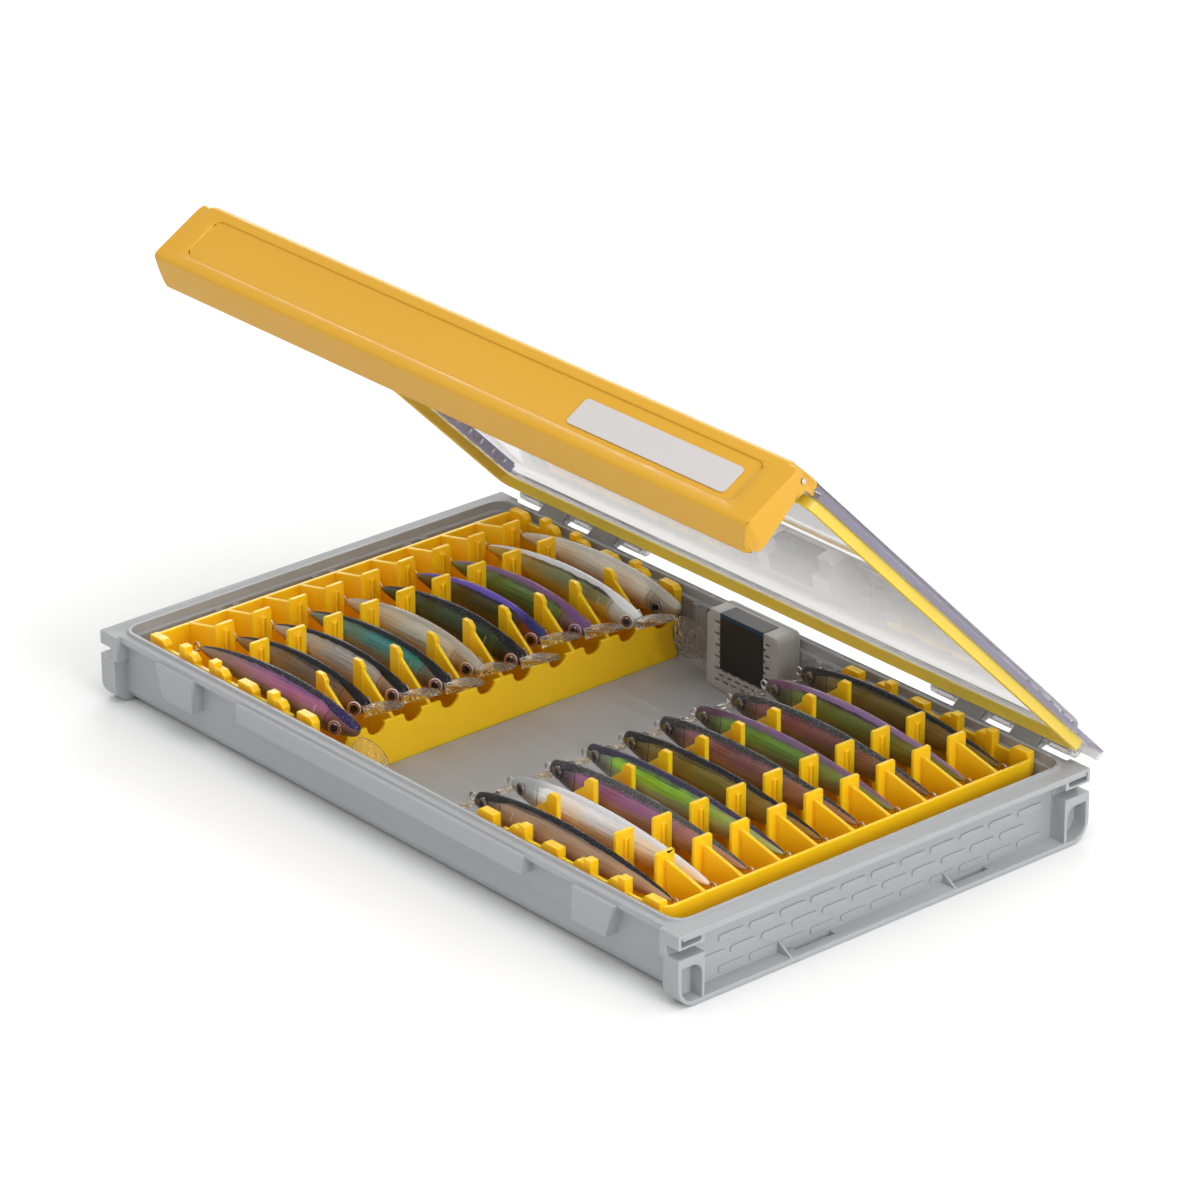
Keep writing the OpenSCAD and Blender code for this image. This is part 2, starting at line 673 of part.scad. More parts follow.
// Lures: a body of round sections whose back arches up and whose belly sags
function swell(s, lead, round) = pow(sin(half_turn * pow(s, lead)), round);
function lure_top(s) = lure_rise * swell(s, 0.85, 0.7);
function lure_belly(s) = -lure_sag * swell(s, 0.72, 0.8);
function lure_side(s) = lure_t / 2 * swell(s, 0.78, 0.5);
function lure_station(j) =
    lure_start_share + (lure_end_share - lure_start_share) * (1 - cos(half_turn * j / (lure_rings - 1))) / 2;
function lure_head(nose, tail) = nose + (tail - nose) * lure_start_share;
function lure_end(nose, tail) = nose + (tail - nose) * lure_end_share;
function belly_at(x, nose, tail) = lure_belly((x - nose) / (tail - nose));
function left_nose_z(i) = lure_nose_z + (i == 0 || i > slot_count - 3 ? big_lure_lift : 0);
function lure_point(len, j, k) =
    let (s = lure_station(j), a = 2 * half_turn * k / lure_sides,
         mid = (lure_top(s) + lure_belly(s)) / 2, half = (lure_top(s) - lure_belly(s)) / 2)
    [len * s, lure_side(s) * sin(a) * (1 - lure_back_share * max(0, cos(a))), mid + half * cos(a)];

module lure(nose, tail, y, z) {
    points = [for (j = [0:lure_rings - 1], k = [0:lure_sides - 1]) lure_point(tail - nose, j, k)];
    wrap = function (j, k) j * lure_sides + k % lure_sides;
    faces = [
        [for (k = [0:lure_sides - 1]) wrap(0, k)],
        [for (k = [0:lure_sides - 1]) wrap(lure_rings - 1, lure_sides - 1 - k)],
        for (j = [0:lure_rings - 2], k = [0:lure_sides - 1]) each [
            [wrap(j, k), wrap(j + 1, k), wrap(j + 1, k + 1)],
            [wrap(j, k), wrap(j + 1, k + 1), wrap(j, k + 1)]]];
    translate([nose, y, z]) polyhedron(points, faces);
}

module left_lure(i) color("darkslateblue")
    mirror([1, 0, 0]) lure(left_nose_x[i], left_tail_x, slot_y(i), left_nose_z(i));
module right_lure(i) color("dimgray")
    lure(right_nose_x, right_tail_x, slot_y(i), lure_nose_z);

// Oval that ends at x0 and narrows towards it by a share
module oval(x0, len, w, share) polygon([
    for (k = [0:lip_points - 1]) let (a = 2 * half_turn * k / lip_points)
        [x0 - len / 2 + len / 2 * cos(a), w / 2 * sin(a) * (1 - share * cos(a))]]);

// Thin lip that starts under the chin and runs down and forward
module lip(nose, tail, y, z, len, w, angle)
    translate([nose + lip_back, y, z + belly_at(nose + lip_back, nose, tail) - gap]) rotate([0, -angle, 0])
        translate([0, 0, -lip_t]) linear_extrude(lip_t) oval(0, len, w, lip_neck_share);

// Bill in front of the head: a wedge, thick at its root, that rises to a rounded tip
module bill(nose, tail, y, z)
    translate([lure_head(nose, tail) - gap, y, z + bill_rise]) rotate([0, bill_angle, 0]) intersection() {
        translate([0, 0, -bill_root_t]) linear_extrude(bill_root_t)
            oval(bill_root_in, bill_len + bill_root_in, bill_w, -bill_taper_share);
        bar_along_y(-bill_w, bill_w, [
            [0, 0], [-bill_len, 0], [-bill_len, -bill_tip_t],
            [-bill_len * bill_mid_share, -bill_mid_t], [bill_root_in, -bill_root_t]]);
    }

module lips_left() color("white", 0.5) mirror([1, 0, 0])
    for (i = [0:slot_count - 1])
        if (i == 0 || i == slot_count - 1)
            lip(left_nose_x[i], left_tail_x, slot_y(i), left_nose_z(i),
                big_lip_len, big_lip_w, big_lip_angle);
        else
            bill(left_nose_x[i], left_tail_x, slot_y(i), left_nose_z(i));
module lips_right() color("white", 0.5)
    for (i = [0:slot_count - 1])
        lip(right_nose_x, right_tail_x, slot_y(i), lure_nose_z, small_lip_len, small_lip_w, lip_angle);

module wire_ring(x, y, z)
    translate([x, y, z]) rotate([90, 0, 0])
        rotate_extrude($fn = round_fn / 2) translate([ring_r, 0]) circle(r = ring_wire_r, $fn = wire_fn);

module rings_left() color("silver") mirror([1, 0, 0])
    for (i = [0:slot_count - 1])
        wire_ring(lure_end(left_nose_x[i], left_tail_x) + ring_reach, slot_y(i), left_nose_z(i));

module rings_right() color("silver") for (i = [0:slot_count - 1]) {
    wire_ring(lure_head(right_nose_x, right_tail_x) - ring_reach, slot_y(i), lure_nose_z);
    wire_ring(lure_end(right_nose_x, right_tail_x) + ring_reach, slot_y(i), lure_nose_z);
}

// Desiccant box
module case_form() intersection() {
    bar_along_x(-case_w / 2, case_w / 2, rounded([
        [case_front, case_z, 0], [case_y, case_z, cavity_edge_r],
        [case_y, case_z + case_h, 0], [case_front, case_z + case_h, 0]]));
    bar_along_y(case_front, case_y, rounded(
        box_corners(-case_w / 2, case_w / 2, case_z, case_z + case_h, case_r)));
}

module desiccant_case() color("gray") difference() {
    intersection() {
        case_form();
        plate(-case_w / 2, case_w / 2, case_front, case_y - case_back_t, case_z, case_z + case_h);
    }
    plate(-case_w / 2 + case_wall, case_w / 2 - case_wall,
        case_front + case_wall, case_y - case_back_t + over,
        case_z + case_floor, case_z + case_h - case_wall);
    for (r = [0:vent_rows - 1], c = [0:vent_cols - 1 - r % 2]) {
        x = (c - (vent_cols - 1 - r % 2) / 2) * vent_pitch;
        plate(x - vent_w / 2, x + vent_w / 2, case_front - over, case_front + case_wall + over,
            case_z + vent_low + r * vent_row, case_z + vent_low + r * vent_row + vent_h);
    }
}

module desiccant_back() color("dimgray") intersection() {
    case_form();
    plate(-case_w / 2, case_w / 2, case_y - case_back_t, case_y, case_z, case_z + case_h);
}

module desiccant_filling() color("lightblue")
    plate(-case_w / 2 + case_wall, case_w / 2 - case_wall, case_front + case_wall, case_y - case_back_t,
        case_z + case_floor, case_z + case_h - case_wall - gap);

module desiccant_label() color("black") {
    plate(-sticker_w / 2, sticker_w / 2, case_front - sticker_t, case_front,
        case_z + case_h - sticker_h, case_z + case_h + sticker_t);
    plate(-sticker_w / 2, sticker_w / 2, case_front, case_front + sticker_top,
        case_z + case_h, case_z + case_h + sticker_t);
}

base();
mirror([1, 0, 0]) hinge_pin();  // hinge_pin_left
hinge_pin();  // hinge_pin_right
rack_left();
rack_right();
lid();
lid_seal();
latch_rod();
latch();
label_insert();
desiccant_case();
desiccant_back();
desiccant_filling();
desiccant_label();
left_lure(0);  // lure_l01
left_lure(1);  // lure_l02
left_lure(2);  // lure_l03
left_lure(3);  // lure_l04
left_lure(4);  // lure_l05
left_lure(5);  // lure_l06
left_lure(6);  // lure_l07
left_lure(7);  // lure_l08
left_lure(8);  // lure_l09
left_lure(9);  // lure_l10
right_lure(0);  // lure_r01
right_lure(1);  // lure_r02
right_lure(2);  // lure_r03
right_lure(3);  // lure_r04
right_lure(4);  // lure_r05
right_lure(5);  // lure_r06
right_lure(6);  // lure_r07
right_lure(7);  // lure_r08
right_lure(8);  // lure_r09
right_lure(9);  // lure_r10
lips_left();
lips_right();
rings_left();
rings_right();
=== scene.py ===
"""Looks of the lure box: finishes for its mouldings, lacquered lures and a plain pale stage."""

import math

import bmesh
import bpy
from bpy.props import FloatProperty, FloatVectorProperty, IntProperty, PointerProperty
from mathutils import Matrix, Vector


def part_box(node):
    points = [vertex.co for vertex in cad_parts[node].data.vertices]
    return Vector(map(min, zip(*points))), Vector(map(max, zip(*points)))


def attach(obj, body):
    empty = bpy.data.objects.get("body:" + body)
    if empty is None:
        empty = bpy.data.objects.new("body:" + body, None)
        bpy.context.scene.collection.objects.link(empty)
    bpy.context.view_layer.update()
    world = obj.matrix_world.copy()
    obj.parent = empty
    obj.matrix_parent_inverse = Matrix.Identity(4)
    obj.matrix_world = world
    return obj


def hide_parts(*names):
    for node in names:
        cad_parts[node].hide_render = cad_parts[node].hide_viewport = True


bl_info = {
    "name": "Lure box",
    "version": (1, 0, 0),
    "blender": (4, 5, 0),
    "location": "View3D > Sidebar > Lure box",
    "description": "Dresses the packed lure box: mouldings, seal, latch, lures and stage",
    "category": "Object",
}

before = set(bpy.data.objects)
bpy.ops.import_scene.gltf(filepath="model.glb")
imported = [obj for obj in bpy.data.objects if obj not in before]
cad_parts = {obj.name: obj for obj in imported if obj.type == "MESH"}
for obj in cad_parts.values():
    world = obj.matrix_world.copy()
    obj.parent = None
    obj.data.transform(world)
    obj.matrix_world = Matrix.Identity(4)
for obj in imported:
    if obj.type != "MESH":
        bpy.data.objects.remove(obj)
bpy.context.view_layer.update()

# Height and depth of the hinge pins, in metres
PIN_AXIS = (0.111, 0.033)

# Racks and lures, in metres
RACK_IN = 0.049
RACK_WIDTH = 0.110
SLOT_PITCH = 0.01908
SLOTS = 10
NOSE_Z = 0.028
BIG_LIFT = 0.002
BIG_SLOTS = (0, 8, 9)
LURE_START = 0.03
LURE_END = 0.985
RIGHT_NOSE = -0.1455
RIGHT_TAIL = 0.9318
LEFT_TAIL = 0.8273
RIGHT_LIFTS = (0.0002, 0.0008, 0.0020, 0.0030, 0.0024, 0.0028, 0.0010, 0.0008, 0.0008, 0.0004)
LEFT_NOSES = (-0.1427, 0.02, 0.0145, -0.0236, 0.0082, -0.0418, 0.0491, 0.0, -0.0973, -0.1227)

# How far each kind of eye sits behind the blunt end of the head, and above the nose line
EYE_PLACES = {"left": (0.0044, -0.0010), "right": (0.0078, 0.0012), "big": (0.0098, -0.0008)}

# How far each side's eyes are turned towards the nose and upwards, and their share of the full radius
EYE_TILTS = {"left": (0.45, 0.22), "right": (0.20, 0.12)}
EYE_SCALES = {"left": 1.0, "right": 0.84}

# An eye's lens, in metres: how far it stands out of the flank, height of its dome, depth of its skirt
EYE_PROUD = 0.0006
EYE_DOME = 0.0010
EYE_SKIRT = 0.0026

# Reach of the lid's hinge lugs about the pins, and how far out its raised side walls begin, in metres
LUG_REACH = 0.0065
LID_SIDE = 0.160

# Widths of the eased corners that aren't settings, in metres
WIRE_EASE = 0.00015
RACK_EASE = 0.00022
SEAL_EASE = 0.0005
INSERT_EASE = 0.0001
CASE_EASE = 0.0004
CASE_BACK_EASE = 0.0003
STICKER_EASE = 0.00008
LIP_EASE = 0.00025

# Camera: azimuth and elevation in degrees, distance and aim in metres, lens in millimetres
CAMERA_AZIMUTH = 48.979
CAMERA_ELEVATION = 24.724
CAMERA_DISTANCE = 2.46579
CAMERA_AIM = (-0.067235, 0.067399, 0.030)
CAMERA_LENS = 178.649

# Lights: name, place in metres, width and height in metres, power in watts
LIGHTS = (
    ("soft_top", (0.30, 0.05, 1.9), (1.6, 1.6), 20.0),
    ("soft_right", (1.8, -0.20, 0.8), (0.9, 0.9), 18.5),
    ("strip_back", (-1.10, 0.95, 0.72), (0.9, 0.12), 6.0),
    ("catch_light", (0.08, -1.50, 0.42), (0.12, 0.12), 0.8),
)

# Colours of each lure, front to back: back, crown of the head, band under the back, upper flank, lower flank,
# belly, cheek, inner eye ring, outer eye ring; and how much glitter the back has
LEFT_COATS = (
    ((0.018, 0.018, 0.022), (0.022, 0.014, 0.065), (0.120, 0.050, 0.130), (0.260, 0.090, 0.160),
     (0.200, 0.140, 0.080), (0.240, 0.140, 0.070), (0.150, 0.060, 0.040), (0.36, 0.10, 0.05), (0.42, 0.20, 0.15), 0.5),
    ((0.008, 0.008, 0.009), (0.007, 0.007, 0.008), (0.050, 0.038, 0.030), (0.150, 0.110, 0.075),
     (0.230, 0.150, 0.060), (0.300, 0.180, 0.060), (0.260, 0.120, 0.055), (0.38, 0.12, 0.07), (0.80, 0.55, 0.46), 0.1),
    ((0.008, 0.008, 0.009), (0.007, 0.007, 0.008), (0.170, 0.160, 0.150), (0.330, 0.310, 0.290),
     (0.360, 0.310, 0.260), (0.420, 0.320, 0.230), (0.280, 0.170, 0.110), (0.40, 0.13, 0.08), (0.80, 0.60, 0.50), 0.1),
    ((0.010, 0.012, 0.013), (0.008, 0.009, 0.010), (0.010, 0.090, 0.090), (0.060, 0.210, 0.200),
     (0.170, 0.180, 0.120), (0.300, 0.240, 0.140), (0.140, 0.090, 0.060), (0.40, 0.12, 0.07), (0.70, 0.50, 0.42), 0.1),
    ((0.400, 0.360, 0.300), (0.380, 0.340, 0.270), (0.420, 0.380, 0.310), (0.470, 0.430, 0.350),
     (0.400, 0.320, 0.220), (0.420, 0.280, 0.120), (0.330, 0.230, 0.110), (0.36, 0.12, 0.06), (0.62, 0.45, 0.28), 0.0),
    ((0.008, 0.009, 0.010), (0.006, 0.006, 0.007), (0.018, 0.022, 0.014), (0.035, 0.055, 0.030),
     (0.060, 0.065, 0.022), (0.120, 0.085, 0.030), (0.030, 0.020, 0.012), (0.34, 0.10, 0.06), (0.60, 0.30, 0.20), 0.35),
    ((0.120, 0.075, 0.400), (0.028, 0.026, 0.130), (0.010, 0.010, 0.035), (0.060, 0.045, 0.014),
     (0.120, 0.080, 0.018), (0.180, 0.100, 0.020), (0.230, 0.060, 0.018), (0.34, 0.09, 0.05), (0.58, 0.30, 0.22), 0.0),
    ((0.190, 0.095, 0.200), (0.150, 0.070, 0.190), (0.060, 0.050, 0.050), (0.110, 0.170, 0.045),
     (0.120, 0.140, 0.035), (0.180, 0.140, 0.040), (0.190, 0.090, 0.150), (0.36, 0.10, 0.08), (0.46, 0.28, 0.42), 0.0),
    ((0.640, 0.640, 0.650), (0.720, 0.720, 0.730), (0.030, 0.030, 0.026), (0.180, 0.180, 0.090),
     (0.420, 0.260, 0.040), (0.550, 0.290, 0.030), (0.560, 0.540, 0.500), (0.36, 0.12, 0.07), (0.75, 0.66, 0.58), 0.0),
    ((0.560, 0.530, 0.470), (0.400, 0.370, 0.310), (0.540, 0.500, 0.430), (0.520, 0.470, 0.390),
     (0.440, 0.340, 0.230), (0.480, 0.300, 0.130), (0.230, 0.190, 0.120), (0.26, 0.12, 0.07), (0.16, 0.12, 0.09), 0.0),
)
RIGHT_COATS = (
    ((0.010, 0.011, 0.012), (0.010, 0.010, 0.010), (0.090, 0.060, 0.045), (0.270, 0.180, 0.120),
     (0.330, 0.210, 0.130), (0.360, 0.220, 0.120), (0.110, 0.075, 0.055), (0.05, 0.035, 0.025), (0.14, 0.10, 0.08), 0.3),
    ((0.620, 0.620, 0.640), (0.350, 0.350, 0.360), (0.640, 0.640, 0.650), (0.660, 0.650, 0.640),
     (0.560, 0.420, 0.260), (0.600, 0.400, 0.200), (0.330, 0.330, 0.320), (0.05, 0.035, 0.025), (0.12, 0.09, 0.07), 0.0),
    ((0.060, 0.062, 0.058), (0.035, 0.030, 0.036), (0.080, 0.050, 0.080), (0.240, 0.100, 0.190),
     (0.330, 0.190, 0.120), (0.360, 0.220, 0.110), (0.070, 0.060, 0.065), (0.05, 0.035, 0.03), (0.12, 0.08, 0.06), 0.8),
    ((0.042, 0.036, 0.075), (0.040, 0.034, 0.050), (0.060, 0.100, 0.050), (0.220, 0.420, 0.035),
     (0.300, 0.320, 0.160), (0.300, 0.270, 0.150), (0.160, 0.170, 0.160), (0.05, 0.04, 0.03), (0.16, 0.14, 0.12), 0.2),
    ((0.012, 0.013, 0.014), (0.014, 0.012, 0.010), (0.060, 0.045, 0.014), (0.170, 0.120, 0.026),
     (0.230, 0.150, 0.035), (0.280, 0.170, 0.050), (0.110, 0.070, 0.022), (0.05, 0.035, 0.02), (0.14, 0.09, 0.05), 0.3),
    ((0.035, 0.037, 0.040), (0.026, 0.022, 0.020), (0.080, 0.035, 0.040), (0.190, 0.080, 0.075),
     (0.270, 0.150, 0.080), (0.300, 0.180, 0.080), (0.060, 0.040, 0.034), (0.05, 0.035, 0.03), (0.12, 0.07, 0.05), 0.8),
    ((0.170, 0.095, 0.180), (0.090, 0.040, 0.060), (0.070, 0.080, 0.060), (0.120, 0.220, 0.040),
     (0.180, 0.180, 0.070), (0.280, 0.190, 0.080), (0.090, 0.080, 0.050), (0.05, 0.035, 0.03), (0.12, 0.08, 0.06), 0.0),
    ((0.040, 0.043, 0.046), (0.030, 0.024, 0.020), (0.070, 0.028, 0.030), (0.160, 0.060, 0.055),
     (0.180, 0.110, 0.050), (0.260, 0.160, 0.060), (0.070, 0.045, 0.030), (0.05, 0.035, 0.03), (0.14, 0.09, 0.05), 0.8),
    ((0.230, 0.140, 0.270), (0.120, 0.050, 0.080), (0.035, 0.020, 0.045), (0.110, 0.130, 0.030),
     (0.160, 0.150, 0.035), (0.240, 0.160, 0.050), (0.060, 0.060, 0.035), (0.05, 0.035, 0.03), (0.12, 0.08, 0.06), 0.15),
    ((0.014, 0.016, 0.018), (0.014, 0.012, 0.010), (0.050, 0.038, 0.016), (0.130, 0.095, 0.026),
     (0.180, 0.120, 0.034), (0.240, 0.150, 0.045), (0.080, 0.055, 0.024), (0.05, 0.035, 0.02), (0.12, 0.08, 0.05), 0.2),
)


# Mesh helpers


def finished_object(name, mesh, body, finishes, stands_for=()):
    """An object at the origin that rides on a body and stands for the named nodes."""
    piece = bpy.data.objects.new(name, mesh)
    bpy.context.scene.collection.objects.link(piece)
    for finish in finishes:
        mesh.materials.append(finish)
    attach(piece, body)
    if stands_for:
        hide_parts(*stands_for)
    return piece


def mesh_from(bm, name, smooth_angle=None):
    """The bmesh as a smooth-shaded mesh, with its edges sharp past the angle."""
    mesh = bpy.data.meshes.new(name)
    for face in bm.faces:
        face.smooth = True
    bm.to_mesh(mesh)
    bm.free()
    if smooth_angle is not None:
        mesh.set_sharp_from_angle(angle=smooth_angle)
    return mesh


def eased_copy(node, name, body, finish, ease, segments=2, shape=None):
    """A merged copy of a moulding, with its flat triangles paired and its corners eased."""
    bm = bmesh.new()
    bm.from_mesh(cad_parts[node].data)
    bmesh.ops.remove_doubles(bm, verts=bm.verts, dist=2e-6)
    bmesh.ops.dissolve_degenerate(bm, edges=bm.edges, dist=4e-6)
    bmesh.ops.join_triangles(bm, faces=bm.faces, angle_face_threshold=math.radians(0.3),
                             angle_shape_threshold=math.radians(120))
    if shape:
        shape(bm)
    piece = finished_object(name, mesh_from(bm, name, math.radians(40)), body, [finish], [node])
    if ease > 0:
        corners = piece.modifiers.new("eased corners", "BEVEL")
        corners.limit_method = "ANGLE"
        corners.angle_limit = math.radians(38)
        corners.width = ease
        corners.segments = segments
        corners.profile = 0.5
        corners.use_clamp_overlap = False
        corners.harden_normals = True
        corners.miter_outer = "MITER_ARC"
    return piece


# Finishes


def new_finish(name):
    """An empty material with one shader; returns the material, its tree and the shader."""
    finish = bpy.data.materials.new(name)
    finish.use_nodes = True
    tree = finish.node_tree
    tree.nodes.clear()
    out = tree.nodes.new("ShaderNodeOutputMaterial")
    shader = tree.nodes.new("ShaderNodeBsdfPrincipled")
    tree.links.new(shader.outputs["BSDF"], out.inputs["Surface"])
    return finish, tree, shader


def add(tree, kind, inputs=None, **settings):
    """A node with its settings, and its sockets given as values or as other nodes' outputs."""
    made = tree.nodes.new(kind)
    for key, value in settings.items():
        setattr(made, key, value)
    for key, value in (inputs or {}).items():
        if isinstance(value, bpy.types.NodeSocket):
            tree.links.new(value, made.inputs[key])
        else:
            made.inputs[key].default_value = value
    return made


def rgba(colour):
    return (*colour[:3], 1.0)


def noise(tree, place, scale, detail=2.0, stretch=(1, 1, 1), roughness=0.5):
    """Noise on object coordinates, stretched by a mapping."""
    where = place
    if tuple(stretch) != (1, 1, 1):
        where = add(tree, "ShaderNodeMapping", {"Vector": place, "Scale": stretch}).outputs["Vector"]
    made = add(tree, "ShaderNodeTexNoise", {"Vector": where, "Scale": scale, "Detail": detail, "Roughness": roughness})
    return made.outputs["Fac"]


def spread(tree, value, low, high, to_low, to_high):
    """A value carried from one range to another, and held at its ends."""
    return add(tree, "ShaderNodeMapRange", {
        "Value": value, "From Min": low, "From Max": high, "To Min": to_low, "To Max": to_high}).outputs["Result"]


def math_node(tree, operation, a, b=0.0):
    made = add(tree, "ShaderNodeMath", {0: a, 1: b}, operation=operation)
    return made.outputs[0]


def mixed(tree, share, a, b):
    """Two colours mixed by a share."""
    made = tree.nodes.new("ShaderNodeMix")
    made.data_type = "RGBA"
    for key, value in ((0, share), (6, a), (7, b)):
        if isinstance(value, bpy.types.NodeSocket):
            tree.links.new(value, made.inputs[key])
        else:
            made.inputs[key].default_value = value
    return made.outputs[2]


def object_place(tree):
    return add(tree, "ShaderNodeTexCoord").outputs["Object"]


def bump(tree, height, strength, distance, under=None):
    inputs = {"Height": height, "Strength": strength, "Distance": distance}
    if under is not None:
        inputs["Normal"] = under
    return add(tree, "ShaderNodeBump", inputs).outputs["Normal"]


def moulded_plastic(name, colour, roughness, grain, grain_depth, drift=0.06, coat=0.0, glow=0.0):
    """Moulded plastic: slow drift of tone, fine texture of the tool's surface, uneven gloss."""
    finish, tree, shader = new_finish(name)
    place = object_place(tree)
    slow = noise(tree, place, 22.0, 3.0)
    dark = rgba([c * (1 - drift) for c in colour])
    light = rgba([min(1.0, c * (1 + drift)) for c in colour])
    tree.links.new(mixed(tree, slow, dark, light), shader.inputs["Base Color"])
    fine = noise(tree, place, grain, 2.0)
    worn = noise(tree, place, 90.0, 4.0)
    tree.links.new(spread(tree, worn, 0.3, 0.7, roughness - 0.05, roughness + 0.06), shader.inputs["Roughness"])
    tree.links.new(bump(tree, fine, 0.5, grain_depth), shader.inputs["Normal"])
    shader.inputs["IOR"].default_value = 1.5
    shader.inputs["Coat Weight"].default_value = coat
    shader.inputs["Coat Roughness"].default_value = 0.12
    if glow > 0:
        shader.inputs["Subsurface Weight"].default_value = glow
        shader.inputs["Subsurface Radius"].default_value = (1.0, 0.50, 0.05)
        shader.inputs["Subsurface Scale"].default_value = 0.006
    return finish


def clear_plastic(name, colour, roughness, wave, wave_depth, ior=1.5, coat=0.0, through=1.0):
    """Clear moulded plastic with a slight wave in its surface and traces of handling."""
    finish, tree, shader = new_finish(name)
    place = object_place(tree)
    waves = noise(tree, place, wave, 1.0)
    smears = noise(tree, place, 30.0, 2.0)
    tree.links.new(spread(tree, smears, 0.45, 0.8, roughness, roughness + 0.02), shader.inputs["Roughness"])
    tree.links.new(bump(tree, waves, 0.6, wave_depth), shader.inputs["Normal"])
    shader.inputs["Base Color"].default_value = rgba(colour)
    shader.inputs["Transmission Weight"].default_value = through
    shader.inputs["IOR"].default_value = ior
    shader.inputs["Coat Weight"].default_value = coat
    shader.inputs["Coat Roughness"].default_value = 0.02
    return finish


def steel(name):
    """Bright wire with drawn scratches."""
    finish, tree, shader = new_finish(name)
    place = object_place(tree)
    drawn = noise(tree, place, 900.0, 3.0, (0.2, 1, 1))
    tree.links.new(mixed(tree, drawn, (0.42, 0.42, 0.44, 1), (0.70, 0.70, 0.72, 1)), shader.inputs["Base Color"])
    tree.links.new(spread(tree, drawn, 0.3, 0.7, 0.16, 0.34), shader.inputs["Roughness"])
    shader.inputs["Metallic"].default_value = 1.0
    return finish


def colour_bands(tree, value, stops, easing="LINEAR"):
    """A colour ramp over a value, with a colour for each place."""
    bands = add(tree, "ShaderNodeValToRGB", {"Fac": value})
    ramp = bands.color_ramp
    ramp.interpolation = easing
    while len(ramp.elements) < len(stops):
        ramp.elements.new(0.5)
    for stop, (where, tone) in zip(ramp.elements, stops):
        stop.position = where
        stop.color = rgba(tone)
    return bands.outputs["Color"]


def attribute(tree, name):
    return add(tree, "ShaderNodeAttribute", attribute_name=name).outputs["Fac"]


def body_place(tree, along, height, across, up, seed):
    """Coordinates that follow a lure's body, so that streaks run with it."""
    return add(tree, "ShaderNodeCombineXYZ", {
        "X": math_node(tree, "MULTIPLY", along, across), "Y": math_node(tree, "MULTIPLY", height, up),
        "Z": seed}).outputs["Vector"]


